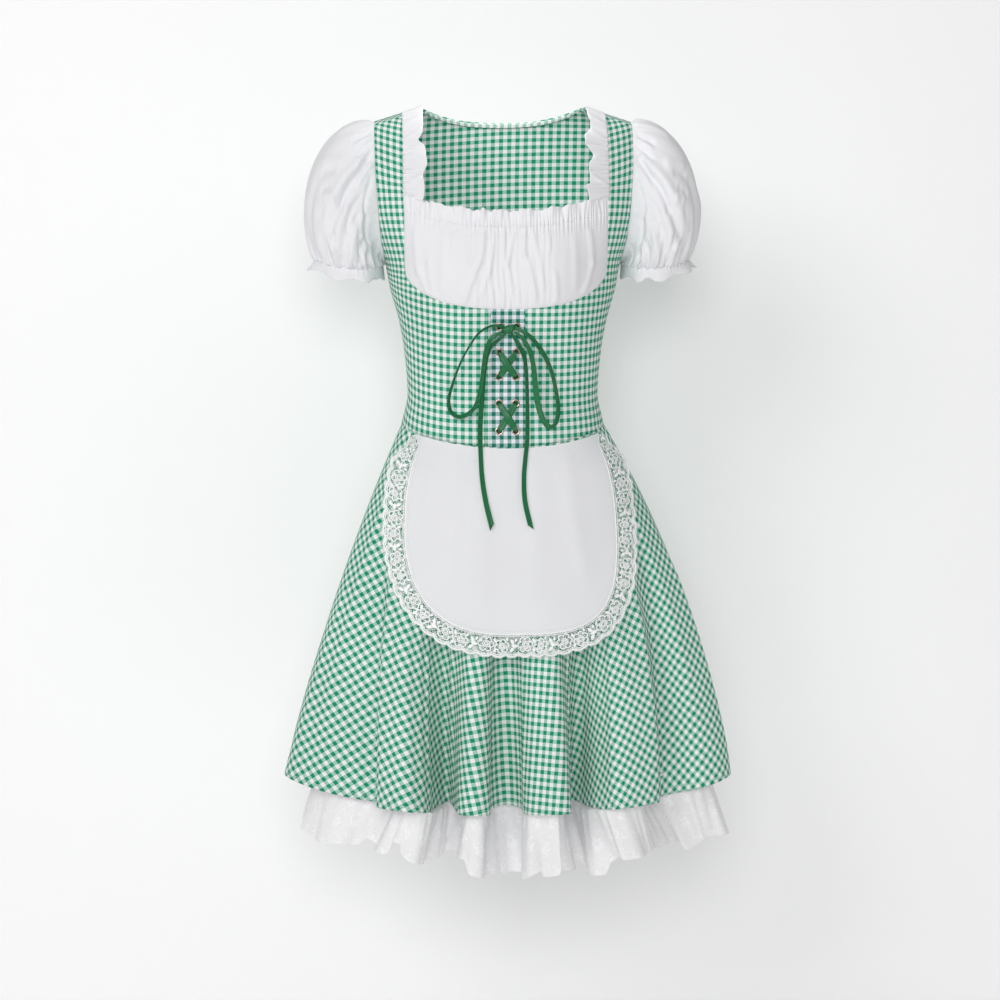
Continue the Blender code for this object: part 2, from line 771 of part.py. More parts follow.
def sleeve_points(side):
    """Lengthwise curves from the armhole to the cuff, one for each strip round the sleeve."""
    loop = armhole_loop(SLEEVE_CELLS)
    rows = []
    for r in range(SLEEVE_ROWS + 1):
        w = r / SLEEVE_ROWS
        row = []
        for c in range(SLEEVE_CELLS):
            angle = 2 * math.pi * c / SLEEVE_CELLS
            high = 0.5 - 0.5 * math.cos(angle)          # 0 under the arm, 1 at the top
            fore = -math.sin(angle)                     # -1 in front, 1 behind
            start = loop[c] + Vector((mix(*SLEEVE_SEAM, high), 0, SLEEVE_SEAM_RISE * (1 - high)))
            end = cuff_point(angle)
            out, round_, up = SLEEVE_LEAVE
            leave = Vector((out, round_ * fore * (1 - high * 0.3), up * high))
            near = start + leave * mix(*SLEEVE_REACH, high ** 0.8)
            far = end + Vector((mix(SLEEVE_FULL_UNDER[0], SLEEVE_FULL[0], high ** 1.5),
                                SLEEVE_FULL[1] * fore,
                                mix(SLEEVE_FULL_UNDER[1], SLEEVE_FULL[2], high)))
            point = bezier(start, near, far, end, w)
            fold = math.sin(angle * CAP_FOLDS + CAP_FOLD_DRIFT * math.sin(angle * 2 + 0.5 * w))
            fade = high ** 0.6 * math.sin(math.pi * min(1.0, w * 1.15)) ** 0.7
            point += (point - SLEEVE_MIDDLE).normalized() * (fold * fade * CAP_FOLD_DEPTH)
            point.x *= side
            row.append(point)
        rows.append(row)
    return rows


def make_sleeve(name, material, side):
    return cloth(name, material, sleeve_points(side), closed=True, flip=side < 0)


def make_cuff_frill(name, material, side):
    rows = []
    cells = CUFF_WAVES * CUFF_CELLS_A_WAVE
    for share in (0.0, 0.5, 1.0):
        row = []
        for c in range(cells):
            angle = 2 * math.pi * c / cells
            away = mix(CUFF_NEAR_BODY, 1.0, 0.5 - 0.5 * math.cos(angle))
            wave = math.sin(angle * CUFF_WAVES + CUFF_DRIFT * math.sin(angle * 3))
            flare = away * share * CUFF_WAVE * (1 + wave)
            point = cuff_point(angle, CUFF_GAP + CUFF_FRILL * share, flare)
            point.x *= side
            row.append(point)
        rows.append(row)
    return cloth(name, material, rows, closed=True, flip=side < 0)


# ---------------------------------------------------------------- skirt
def ring_point(angle, half, depth, side):
    return Vector((half * power(math.cos(angle), 2 / ROUND),
                   side * depth * power(math.sin(angle), 2 / ROUND), 0))


def even_ring(half, depth, side, cells):
    """Half a body section from the left seam to the right one, evenly by length."""
    dense = [ring_point(math.pi * (1 - k / RING_STEPS), half, depth, side)
             for k in range(RING_STEPS + 1)]
    return evenly(dense, cells)


def skirt_columns(folds, side, cells):
    """For each strip of cloth: its point at the waist, its place on the smooth cone at the
    hem, and its place on the folded hem."""
    waist = column(TORSO, WAIST, 1), column(TORSO, WAIST, 2 if side < 0 else 3)
    hem_depth = HEM_FRONT if side < 0 else HEM_BACK
    top = even_ring(waist[0], waist[1], side, cells)
    cone = even_ring(HEM_HALF, hem_depth, side, cells)
    hem = evenly(spline([(x, y, 0) for x, y in folds], FOLD_STEPS), cells)
    return top, cone, hem


def skirt_point(columns, c, v):
    top, cone, hem = (line[c] for line in columns)
    flat = top.lerp(cone, v) + (hem - cone) * v ** SKIRT_GROWTH
    beside = power(cone.x / HEM_HALF, 3)
    flat.x += beside * SWELL[1 if beside > 0 else -1] * 4 * v * (1 - v)
    out = (flat - top).length
    drop = math.sqrt(max(0.0, (SKIRT_LENGTH * v) ** 2 - out ** 2))
    return Vector((flat.x, flat.y, WAIST - SEAM / 2 - drop))


def skirt_share(r):
    """How far down the skirt row r lies."""
    return (r / SKIRT_ROWS) ** SKIRT_CROWD


def skirt_rows(columns, cells):
    return [[skirt_point(columns, c, skirt_share(r)) for c in range(cells + 1)]
            for r in range(SKIRT_ROWS + 1)]


def make_skirt(name, material, folds, side, cells):
    rows = skirt_rows(skirt_columns(folds, side, cells), cells)
    for row in rows:
        for end in (row[0], row[-1]):
            end.y = side * SEAM / 2
    return cloth(name, material, rows, flip=side > 0)


def make_flounce(name, material, folds, side, cells):
    """Gathered tulle sewn inside the hem, made from the skirt's own lower rows."""
    columns = skirt_columns(folds, side, cells)
    cone = columns[1]
    lower = skirt_rows(columns, cells)
    hem = lower[-1]
    above = lower[-2]
    seam_share = (1 - FLOUNCE_TOP) / (1 - skirt_share(SKIRT_ROWS - 1))
    inside = []
    for c in range(cells + 1):
        along = hem[min(cells, c + 1)] - hem[max(0, c - 1)]
        inside.append(Vector((along.y, -along.x, 0)).normalized() * side)
    rows = [[hem[c].lerp(above[c], seam_share) + inside[c] * FLOUNCE_SEWN
             for c in range(cells + 1)],
            [hem[c] + inside[c] * FLOUNCE_INSET for c in range(cells + 1)]]
    for share in (0.5, 1.0):
        row = []
        for c in range(cells + 1):
            turn = 2 * math.pi * c / FLOUNCE_CELLS_A_WAVE
            wave = math.sin(turn + FLOUNCE_DRIFT[0] * math.sin(turn * FLOUNCE_DRIFT[1]))
            fade = min(1.0, c / 4, (cells - c) / 4)
            point = hem[c] + inside[c] * (FLOUNCE_INSET - fade * share * FLOUNCE_WAVE * wave)
            smooth = Vector((cone[c].x, cone[c].y, point.z))
            tuck = mix(*FLOUNCE_TUCK, 0.5 + 0.5 * cone[c].x / HEM_HALF)
            point = point.lerp(smooth, FLOUNCE_EASE * share) * (1 - tuck)
            point.z = hem[c].z - column(FLOUNCE_DROP, hem[c].x, 1) * share
            row.append(point)
        rows.append(row)
    for row in rows:
        for end in (row[0], row[-1]):
            end.y = side * SEAM / 2
    return cloth(name, material, rows, wall=FLOUNCE_WALL, flip=side > 0)


# ---------------------------------------------------------------- apron and its lace
def apron_point(x, z, lift=0.0):
    """A point on the apron: the skirt's smooth cone in front, moved out."""
    v = max(0.0, (WAIST - z) / SKIRT_LENGTH)
    half = mix(column(TORSO, WAIST, 1), HEM_HALF, v)
    depth = mix(column(TORSO, WAIST, 2), HEM_FRONT, v)
    off = mix(APRON_OFF[0], APRON_OFF[1], min(1.0, 2 * v)) + lift
    share = min(1.0, abs(x) / (half + off + APRON_SIDE_EASE * ease(v / 0.12)))
    return Vector((x, -(depth + off) * (1 - share ** ROUND) ** (1 / ROUND), z))


def apron_low(share):
    """Lower edge at a share of the half width."""
    return APRON_CORNER - APRON_DROP * (1 - abs(share) ** APRON_ROUND) ** (1 / APRON_ROUND)


def make_apron(material):
    rows = []
    for r in range(APRON_LEVELS + 1):
        row = []
        for c in range(APRON_ACROSS + 1):
            share = math.sin(math.pi / 2 * mix(-1, 1, c / APRON_ACROSS))
            z = mix(APRON_TOP, apron_low(share), r / APRON_LEVELS)
            row.append(apron_point(APRON_SHIFT + share * apron_half(z), z))
        rows.append(row)
    return cloth("apron", material, rows)


def apron_half(z):
    return column(APRON_HALF, z, 1)


def apron_edge(steps):
    """The apron's cut edge from the waist down round and up again, as x and z."""
    side = []
    for k in range(steps + 1):
        z = mix(APRON_TOP, APRON_CORNER, k / steps)
        side.append((apron_half(z), z))
    for k in range(1, steps * 2 + 1):
        turn = math.pi / 2 * k / (steps * 2)
        share = math.cos(turn) ** (2 / APRON_ROUND)
        z = APRON_CORNER - APRON_DROP * math.sin(turn) ** (2 / APRON_ROUND)
        side.append((share * apron_half(z), z))
    left = [(-x, z) for x, z in side]
    return [Vector((APRON_SHIFT + x, 0, z)) for x, z in left + side[::-1][1:]]


def make_apron_lace(material):
    """Scalloped lace along the apron's edge, narrower where the waist seam takes it in."""
    cells = LACE_REPEATS * 2
    edge = evenly(apron_edge(20), cells)
    rows = []
    for band in LACE_BANDS:
        row = []
        for c, point in enumerate(edge):
            along = (edge[min(cells, c + 1)] - edge[max(0, c - 1)]).normalized()
            outward = Vector((along.z, 0, -along.x))
            if outward.dot(point - APRON_MIDDLE) < 0:
                outward = -outward
            near = 1 - ease((WAIST - point.z) / LACE_TAKEN_IN)
            outward = outward.lerp(Vector((math.copysign(1, point.x), 0, -0.02)), near)
            width = LACE_WIDTH * mix(1.0, LACE_TAKEN_WIDTH, near)
            scallop = LACE_SCALLOP * (1 if c % 2 else -1) * band * (1 - near)
            spot = point + outward.normalized() * (LACE_GAP + width * band + scallop)
            row.append(apron_point(spot.x, spot.z, LACE_RIPPLE * math.sin(c * 1.3) * band))
        rows.append(row)
    holes = {(1 if c % 2 == 0 else 3, c) for c in range(2, cells - 2)}
    return cloth("apron_lace", material, rows, holes=holes, wall=LACE_WALL, flip=True)


# ---------------------------------------------------------------- ribbon
def ribbon(name, material, route, cells):
    """A flat ribbon along a route of rows: centre point, and half its width as a vector."""
    rows = []
    centres = spline([centre for centre, half in route], cells)
    halves = spline([half for centre, half in route], cells)
    for centre, half in zip(centres, halves):
        rows.append([centre - half, centre + half])
    return cloth(name, material, rows, wall=RIBBON_WALL)


def lay(x, z, lift):
    """A point over the front: the bodice above the waist, the apron below it."""
    if z > WAIST:
        return body_point(x, z, -1, lift)
    return apron_point(x, z, lift)


# Free stretches of the ribbon, each a route of points in front of the dress.
BOW_LOOP_LEFT = (
    # x,      z,      lift,   turn of the ribbon's width out of the surface, degrees
    (-0.0060, -0.2640, 0.0098, 20),
    (-0.0190, -0.2612, 0.0130, 40),
    (-0.0330, -0.2690, 0.0140, 62),
    (-0.0454, -0.2890, 0.0120, 74),
    (-0.0545, -0.3100, 0.0105, 80),
    (-0.0620, -0.3330, 0.0095, 80),
    (-0.0668, -0.3560, 0.0090, 78),
    (-0.0635, -0.3720, 0.0090, 60),
    (-0.0520, -0.3760, 0.0095, 40),
    (-0.0380, -0.3650, 0.0105, 38),
    (-0.0310, -0.3420, 0.0120, 42),
    (-0.0280, -0.3150, 0.0130, 45),
    (-0.0245, -0.2890, 0.0140, 42),
    (-0.0175, -0.2745, 0.0120, 30),
    (-0.0060, -0.2697, 0.0090, 20),
)
BOW_LOOP_RIGHT = (
    # x,     z,      lift,   turn
    (0.0067, -0.2640, 0.0098, 20),
    (0.0230, -0.2730, 0.0130, 30),
    (0.0390, -0.2950, 0.0125, 40),
    (0.0490, -0.3180, 0.0110, 48),
    (0.0550, -0.3430, 0.0100, 50),
    (0.0583, -0.3670, 0.0090, 50),
    (0.0560, -0.3830, 0.0090, 48),
    (0.0490, -0.3885, 0.0090, 42),
    (0.0410, -0.3800, 0.0095, 42),
    (0.0345, -0.3600, 0.0105, 44),
    (0.0315, -0.3370, 0.0115, 46),
    (0.0290, -0.3120, 0.0125, 44),
    (0.0235, -0.2890, 0.0135, 36),
    (0.0150, -0.2755, 0.0120, 28),
    (0.0067, -0.2697, 0.0090, 20),
)
RIBBON_TAIL_LEFT = (
    # x,      z,      lift,   turn
    (-0.0034, -0.2716, 0.0088, 15),
    (-0.0110, -0.2790, 0.0075, 25),
    (-0.0215, -0.2900, 0.0065, 35),
    (-0.0265, -0.3090, 0.0060, 42),
    (-0.0285, -0.3310, 0.0058, 45),
    (-0.0305, -0.3600, 0.0056, 45),
    (-0.0325, -0.3910, 0.0056, 45),
    (-0.0330, -0.4200, 0.0056, 42),
    (-0.0315, -0.4490, 0.0056, 38),
    (-0.0270, -0.4780, 0.0056, 34),
    (-0.0205, -0.5050, 0.0056, 30),
)
RIBBON_TAIL_RIGHT = (
    # x,     z,      lift,   turn
    (0.0033, -0.2712, 0.0088, 15),
    (0.0105, -0.2830, 0.0076, 25),
    (0.0175, -0.2970, 0.0068, 35),
    (0.0210, -0.3150, 0.0062, 42),
    (0.0225, -0.3400, 0.0060, 45),
    (0.0232, -0.3720, 0.0058, 45),
    (0.0228, -0.4030, 0.0056, 45),
    (0.0205, -0.4250, 0.0056, 42),
    (0.0185, -0.4480, 0.0056, 38),
    (0.0195, -0.4750, 0.0056, 34),
    (0.0260, -0.5050, 0.0056, 30),
)


def free_route(table, width, loop):
    """Turn a table of x, z, lift and turn into centres and half widths, pinched at the knot."""
    centres = [lay(x, z, lift) for x, z, lift, turn in table]
    outs = [(lay(x, z, lift + 0.001) - lay(x, z, lift)).normalized()
            for x, z, lift, turn in table]
    route = []
    for i, row in enumerate(table):
        along = centres[min(i + 1, len(table) - 1)] - centres[max(i - 1, 0)]
        across = along.normalized().cross(outs[i]).normalized()
        turn = math.radians(row[3])
        pinch = 1.0
        if i < 2:
            pinch = KNOT_PINCH[i]
        if loop and i > len(table) - 3:
            pinch = KNOT_PINCH[len(table) - 1 - i]
        half = (across * math.cos(turn) + outs[i] * math.sin(turn)) * (width / 2 * pinch)
        route.append((centres[i], half))
    return route


# The laced stretch, eyelet by eyelet: row of the eyelet and its side, in the order in which
# the ribbon passes them, and whether it goes in or comes out there.
LACED = (
    # row, side, way, lift of the crossing that follows, or 0 for none
    (0, -1, "in", 0.0),
    (1, -1, "out", 0.0058),
    (2, 1, "in", 0.0),
    (3, 1, "out", 0.0028),
    (4, -1, "in", 0.0),
    (4, 1, "out", 0.0058),
    (3, -1, "in", 0.0),
    (2, -1, "out", 0.0028),
    (1, 1, "in", 0.0),
    (0, 1, "out", 0.0),
)


def make_lacing(material):
    """The ribbon where the eyelets hold it: in and out of ten bores, crossing twice."""
    over = WALL / 2 + 2 * SEAM + EYELET_LIP + RIBBON_WALL / 2 + RIBBON_CLEAR
    places = [eyelet_place(side, EYELET_ROWS[row]) for row, side, way, crossing in LACED]
    knot_ends = [body_point(side * KNOT_TIE[0], KNOT_TIE[1], -1, KNOT_TIE[2])
                 for side in (-1, 1)]
    stops = [knot_ends[0]] + [place for place, out in places] + [knot_ends[1]]
    upright = Vector((0, 0, LACED_HALF))
    route = [(knot_ends[0], upright)]
    for k, (row, side, way, crossing) in enumerate(LACED):
        place, out = places[k]
        arrive = (place - stops[k]).normalized()
        leave = (stops[k + 2] - place).normalized()
        lift = over if way == "in" else -over
        wide_in = arrive.cross(out).normalized()
        wide_out = leave.cross(out).normalized()
        if wide_in.dot(wide_out) < 0:
            wide_out = -wide_out
        if route[-1][1].dot(wide_in) < 0:
            wide_in = -wide_in
            wide_out = -wide_out
        middle = (wide_in + wide_out).normalized()
        if k > 0:
            route.append((place - arrive * BORE_CLEAR + out * lift, wide_in * LACED_HALF))
        route += [
            (place - arrive * BORE_TURN + out * lift * 0.93, wide_in * BORE_HALF),
            (place + out * lift * 0.35, middle * BORE_HALF),
            (place - out * lift * 0.35, middle * BORE_HALF),
            (place + leave * BORE_TURN - out * lift * 0.93, wide_out * BORE_HALF),
        ]
        if k < len(LACED) - 1:
            route.append((place + leave * BORE_CLEAR - out * lift, wide_out * LACED_HALF))
            crosses = way == "out"
            height = crossing if crosses and crossing else -lift
            half = RIBBON_WIDTH / 2 if crosses else LACED_HALF
            route.append(((place + stops[k + 2]) / 2 + out * height, wide_out * half))
    route.append((knot_ends[1], upright))
    steady = [route[0]]
    for centre, half in route[1:]:
        steady.append((centre, half if half.dot(steady[-1][1]) >= 0 else -half))
    return ribbon("lacing", material, steady, 1)


def make_knot(material):
    form = bmesh.new()
    bmesh.ops.create_uvsphere(form, u_segments=KNOT_SIDES[0], v_segments=KNOT_SIDES[1],
                              radius=1.0)
    bmesh.ops.scale(form, vec=KNOT_HALF, verts=form.verts)
    bmesh.ops.translate(form, vec=body_point(0.0, KNOT_HEIGHT, -1, KNOT_LIFT), verts=form.verts)
    return finish("bow_knot", material, form, 0.0)


# ---------------------------------------------------------------- build
def build():
    scene = bpy.context.scene
    scene.collection.children.link(dress)
    scene.collection.children.link(cutters)
    made = make_materials()
    gingham = made["gingham"]
    cotton = made["cotton"]
    lace = made["lace"]
    satin = made["satin"]

    make_back(gingham)
    make_neck_binding(gingham)
    make_centre_panel(gingham)
    make_bib(cotton)
    make_bib_frill(cotton)
    for word, side in (("left", -1), ("right", 1)):
        make_side_front("bodice_front_" + word, gingham, side)
        make_strap_ruffle("strap_ruffle_" + word, cotton, side)
        make_sleeve("sleeve_" + word, cotton, side)
        make_cuff_frill("cuff_frill_" + word, cotton, side)
    make_skirt("skirt_front", gingham, HEM_FRONT_FOLDS, -1, SKIRT_FRONT_CELLS)
    make_skirt("skirt_back", gingham, HEM_BACK_FOLDS, 1, SKIRT_BACK_CELLS)
    make_flounce("flounce_front", lace, HEM_FRONT_FOLDS, -1, SKIRT_FRONT_CELLS)
    make_flounce("flounce_back", lace, HEM_BACK_FOLDS, 1, SKIRT_BACK_CELLS)
    make_apron(cotton)
    make_apron_lace(lace)
    for row, height in enumerate(EYELET_ROWS, start=1):
        for word, side in (("left", -1), ("right", 1)):
            make_eyelet(f"eyelet_{row}_{word}", made["eyelet"], side, height)
    make_lacing(satin)
    make_knot(satin)
    ribbon("bow_loop_left", satin, free_route(BOW_LOOP_LEFT, RIBBON_LOOSE, True), 2)
    ribbon("bow_loop_right", satin, free_route(BOW_LOOP_RIGHT, RIBBON_LOOSE, True), 2)
    ribbon("ribbon_tail_left", satin, free_route(RIBBON_TAIL_LEFT, RIBBON_LOOSE, False), 2)
    ribbon("ribbon_tail_right", satin, free_route(RIBBON_TAIL_RIGHT, RIBBON_LOOSE, False), 2)


build()
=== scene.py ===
# %% [markdown]
# # A laced gingham dress with an apron, built from flat cloth
#
# The dress is filled out as if somebody wore it: a close bodice, a gathered white bust panel,
# puff sleeves, a flared skirt with deep folds, a lace-edged apron and a gathered tulle flounce
# under the hem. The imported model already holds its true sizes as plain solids. This lesson puts
# the cloth on that frame: one thin shell for each piece that is cut and sewn, with its folds,
# its weave, its lace and its stitches.
#
# Every shell is a grid of points worked out by a formula, and every grid carries a second set of
# numbers: where each point lay on the uncut cloth, in metres. Blender stores that as a UV map.
# Checks drawn in that map bend, crowd and turn just as woven checks do.

import json
import math

import bmesh
import bpy
import numpy as np
from mathutils import Matrix, Vector

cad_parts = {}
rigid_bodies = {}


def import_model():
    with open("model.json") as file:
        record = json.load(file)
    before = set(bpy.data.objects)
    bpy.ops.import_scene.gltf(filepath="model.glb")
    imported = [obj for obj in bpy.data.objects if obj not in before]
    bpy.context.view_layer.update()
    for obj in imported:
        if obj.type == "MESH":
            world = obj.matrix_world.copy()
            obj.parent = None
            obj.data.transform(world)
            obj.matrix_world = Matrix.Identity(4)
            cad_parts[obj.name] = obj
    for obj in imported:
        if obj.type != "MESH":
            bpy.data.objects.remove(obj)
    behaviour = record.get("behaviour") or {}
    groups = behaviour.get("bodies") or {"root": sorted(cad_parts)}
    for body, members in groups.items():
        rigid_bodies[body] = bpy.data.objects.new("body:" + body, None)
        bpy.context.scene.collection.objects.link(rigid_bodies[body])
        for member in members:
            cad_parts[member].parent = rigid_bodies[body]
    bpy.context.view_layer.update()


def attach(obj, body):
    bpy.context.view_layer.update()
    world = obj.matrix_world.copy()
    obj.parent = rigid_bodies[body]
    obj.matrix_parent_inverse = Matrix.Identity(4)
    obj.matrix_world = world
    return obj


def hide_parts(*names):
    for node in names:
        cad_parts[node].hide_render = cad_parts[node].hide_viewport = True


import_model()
scene = bpy.context.scene

# %% [markdown]
# ## The camera
# A long lens from three metres keeps a garment's sleeves and hem in proportion. The camera stands
# a little to the left of the middle and looks slightly down, so that the inside of the back shows
# above the bust. Two angles and a distance place it, which is easier to change than coordinates.

# %% Camera
CAMERA_AZIMUTH = math.radians(-3.5)
CAMERA_HEIGHT = math.radians(8.0)
CAMERA_DISTANCE = 3.0
CAMERA_AIM = Vector((0.0, 0.0, -0.49))
LENS = 86.4
SIDE_SHIFT = -0.0025


def place_camera():
    camera = bpy.data.objects.new("camera", bpy.data.cameras.new("camera"))
    scene.collection.objects.link(camera)
    back = Vector((math.sin(CAMERA_AZIMUTH) * math.cos(CAMERA_HEIGHT),
                   -math.cos(CAMERA_AZIMUTH) * math.cos(CAMERA_HEIGHT),
                   math.sin(CAMERA_HEIGHT)))
    camera.location = CAMERA_AIM + back * CAMERA_DISTANCE
    camera.rotation_euler = (-back).to_track_quat("-Z", "Y").to_euler()
    camera.data.lens = LENS
    camera.data.sensor_width = 36.0
    camera.data.shift_x = SIDE_SHIFT
    scene.camera = camera


place_camera()
print("camera at", [round(v, 3) for v in scene.camera.location])

# %% [markdown]
# ## Curves and tables
# A dressmaker's pattern is a handful of measurements joined by smooth curves. `column` reads a
# table of them at any height, `spline` draws a smooth line through points, and `evenly` spaces
# points along it. They work on whole arrays, because a fine shell has thousands of points.

# %% Helpers for curves
def mix(a, b, t):
    return a + (b - a) * t


def ease(t):
    t = np.clip(t, 0.0, 1.0)
    return t * t * (3 - 2 * t)


def power(value, exponent):
    """A power that keeps the sign."""
    return np.sign(value) * np.abs(value) ** exponent


def column(table, at, index):
    """Column `index` of a table at `at` in its first column, on a smooth curve."""
    keys = np.array([row[0] for row in table])
    values = np.array([row[index] for row in table])
    steps = np.diff(values) / np.diff(keys)
    slopes = np.concatenate((steps[:1], np.zeros(len(steps) - 1), steps[-1:]))
    before, after = steps[:-1], steps[1:]
    rising = before * after > 0
    total = np.where(rising, before + after, 1.0)
    slopes[1:-1] = np.where(rising, 2 * before * after / total, 0.0)
    at = np.clip(at, keys[0], keys[-1])
    i = np.clip(np.searchsorted(keys, at, side="right") - 1, 0, len(keys) - 2)
    width = keys[i + 1] - keys[i]
    t = (at - keys[i]) / width
    return (values[i] * (1 + 2 * t) * (1 - t) ** 2 + values[i + 1] * t * t * (3 - 2 * t)
            + width * (slopes[i] * t * (1 - t) ** 2 - slopes[i + 1] * t * t * (1 - t)))


def spline(points, steps):
    """A smooth curve through all the points, `steps` to each stretch."""
    points = np.array(points, float)
    ends = np.vstack((2 * points[0] - points[1], points, 2 * points[-1] - points[-2]))
    t = (np.arange(steps) / steps)[:, None]
    curve = []
    for a, b, c, d in zip(ends, ends[1:], ends[2:], ends[3:]):
        curve.append(0.5 * (2 * b + (c - a) * t + (2 * a - 5 * b + 4 * c - d) * t * t
                            + (3 * b - a - 3 * c + d) * t ** 3))
    curve.append(points[-1:])
    return np.vstack(curve)


def lengths(curve):
    """Distance along a curve, or down each line of a grid, at each of its points."""
    steps = np.linalg.norm(np.diff(curve, axis=0), axis=-1)
    return np.concatenate((np.zeros_like(steps[:1]), np.cumsum(steps, axis=0)))


def evenly(curve, cells):
    """The curve's points set out again, evenly by length."""
    along = lengths(curve)
    want = np.linspace(0, along[-1], cells + 1)
    return np.stack([np.interp(want, along, curve[:, k]) for k in range(curve.shape[1])], axis=1)


def join(*parts):
    """Points from their coordinates, each stretched to the others' shape."""
    return np.stack(np.broadcast_arrays(*parts), axis=-1)


def unit(vectors):
    return vectors / np.maximum(np.linalg.norm(vectors, axis=-1, keepdims=True), 1e-12)


# %% [markdown]
# ## The body's surface
# The bodice is a stack of rounded rings: at each height a half width and a depth to the front
# and to the back. Near the top the surface turns over into the shoulder. Every piece of the
# bodice lies on this one surface, so neighbours meet along their seams without any fitting.

# %% The body's surface
SIDES = (("left", -1), ("right", 1))
WAIST = -0.412                # height of the waist seam
WAIST_DIP = 1.05              # the seam climbs by this times the square of x
WAIST_FROM = -0.25            # and its curve dies out up to here
UNDERARM = -0.195
SHOULDER_TIP = (0.157, -0.023)      # x and z where shoulder meets sleeve
NECK_POINT = (0.1, -0.005)          # x and z where shoulder meets neck
SHOULDER_ROUND = 2.6
SHOULDER_START = -0.13       # height at which the chest starts to turn over the shoulder
ROUND = 2.25                 # how square the body sections are, where 2 is an ellipse
TORSO = (
    # z,     half,   front,  back
    (-0.412, 0.13, 0.1, 0.088),
    (-0.388, 0.124, 0.097, 0.085),
    (-0.355, 0.1175, 0.0945, 0.0805),
    (-0.302, 0.1215, 0.101, 0.079),
    (-0.265, 0.1278, 0.109, 0.081),
    (-0.225, 0.1385, 0.115, 0.0845),
    (-0.195, 0.144, 0.1165, 0.0865),
    (-0.16, 0.156, 0.113, 0.087),
    (-0.12, 0.166, 0.106, 0.086),
    (-0.06, 0.172, 0.094, 0.08),
    (0.03, 0.172, 0.08, 0.07),
)
ARMHOLE = (
    # z,     x_front, x_back
    (-0.195, 0.144, 0.144),
    (-0.186, 0.1452, 0.1458),
    (-0.165, 0.149, 0.15),
    (-0.12, 0.153, 0.155),
    (-0.07, 0.156, 0.157),
    (-0.023, 0.157, 0.157),
)
STRAP_EDGE = (
    # z,     x
    (-0.19, 0.1227),
    (-0.12, 0.1227),
    (-0.07, 0.1205),
    (-0.03, 0.112),
    (-0.005, 0.1),
)
BUST_FULLNESS = 0.01
BUST_PLACE = (0.062, -0.19)
BUST_SPREAD = (0.042, 0.045)


def shoulder(x):
    """Height of the shoulder line, carried on beyond the neck."""
    fall = (NECK_POINT[1] - SHOULDER_TIP[1]) / (SHOULDER_TIP[0] - NECK_POINT[0])
    return NECK_POINT[1] - fall * (np.abs(x) - NECK_POINT[0])


def body_y(x, z, side):
    """Depth of the bodice at x and z: side -1 is the front and 1 is the back."""
    half = column(TORSO, z, 1)
    depth = column(TORSO, z, 2 if side < 0 else 3)
    ring = np.maximum(0.0, 1 - np.minimum(1.0, np.abs(x) / half) ** ROUND) ** (1 / ROUND)
    up = np.clip((z - SHOULDER_START) / (shoulder(x) - SHOULDER_START), 0.0, 1.0)
    turn = np.maximum(0.0, 1 - up ** SHOULDER_ROUND) ** (1 / SHOULDER_ROUND)
    y = side * depth * ring * turn
    if side < 0:
        across = (np.abs(x) - BUST_PLACE[0]) / BUST_SPREAD[0]
        upward = (z - BUST_PLACE[1]) / BUST_SPREAD[1]
        y = y - BUST_FULLNESS * np.exp(-across ** 2 - upward ** 2)
    return y


def body_point(x, z, side, lift=0.0):
    """Points on the bodice, moved out along the surface's normal."""
    x, z = np.broadcast_arrays(np.asarray(x, float), np.asarray(z, float))
    step = 0.0008
    here = join(x, body_y(x, z, side), z)
    across = (body_y(x + step, z, side) - body_y(x - step, z, side)) / (2 * step)
    upward = (body_y(x, z + step, side) - body_y(x, z - step, side)) / (2 * step)
    out = unit(join(-across, np.ones_like(x), -upward)) * side
    return here + out * np.asarray(lift)[..., None]


def waist_line(x):
    """Height of the waist seam, which climbs from the middle to the sides."""
    return WAIST + WAIST_DIP * np.square(x)


def lift_waist(x, z):
    """Carries the lower part of a bodice piece up to the curved waist seam."""
    share = np.clip((WAIST_FROM - z) / (WAIST_FROM - WAIST), 0.0, 1.0)
    raised = z + WAIST_DIP * x * x * share
    return x * column(TORSO, raised, 1) / column(TORSO, z, 1), raised


def angle_of(x, z):
    """Where x lies on the ring at z, as an angle from the right-hand side seam."""
    return np.arccos(np.clip(power(x / column(TORSO, z, 1), ROUND / 2), -1.0, 1.0))


def x_at(angle, z):
    return column(TORSO, z, 1) * power(np.cos(angle), 2 / ROUND)


# %% [markdown]
# ## Making a cloth shell
# `shell` turns rows of points into a named mesh. The grid becomes quads, each point's place on the
# flat cloth goes into the UV map called *cloth*, and a Solidify modifier gives the sheet a real,
# thin thickness, so that a hem has an edge. The grid stays light while it is shaped, which a box
# of two walls would not. Sheer pieces stay a single surface: light passes through one veil.
#
# `dress_in` then does three things with each piece: it gives it its finish, hangs it on the frame,
# and hides the plain solid of the frame that it stands for.

# %% Cloth shells
CLOTH = 0.0006                # thickness of the finished cloth


def smooth_mesh(name, points, faces, flat=None):
    """A mesh; flat holds the place on the uncut cloth of each corner of each face."""
    data = bpy.data.meshes.new(name)
    data.from_pydata(points, [], faces)
    data.polygons.foreach_set("use_smooth", np.ones(len(faces), bool))
    if flat is not None:
        data.uv_layers.new(name="cloth").data.foreach_set("uv", flat.astype(np.float32).ravel())
    return data


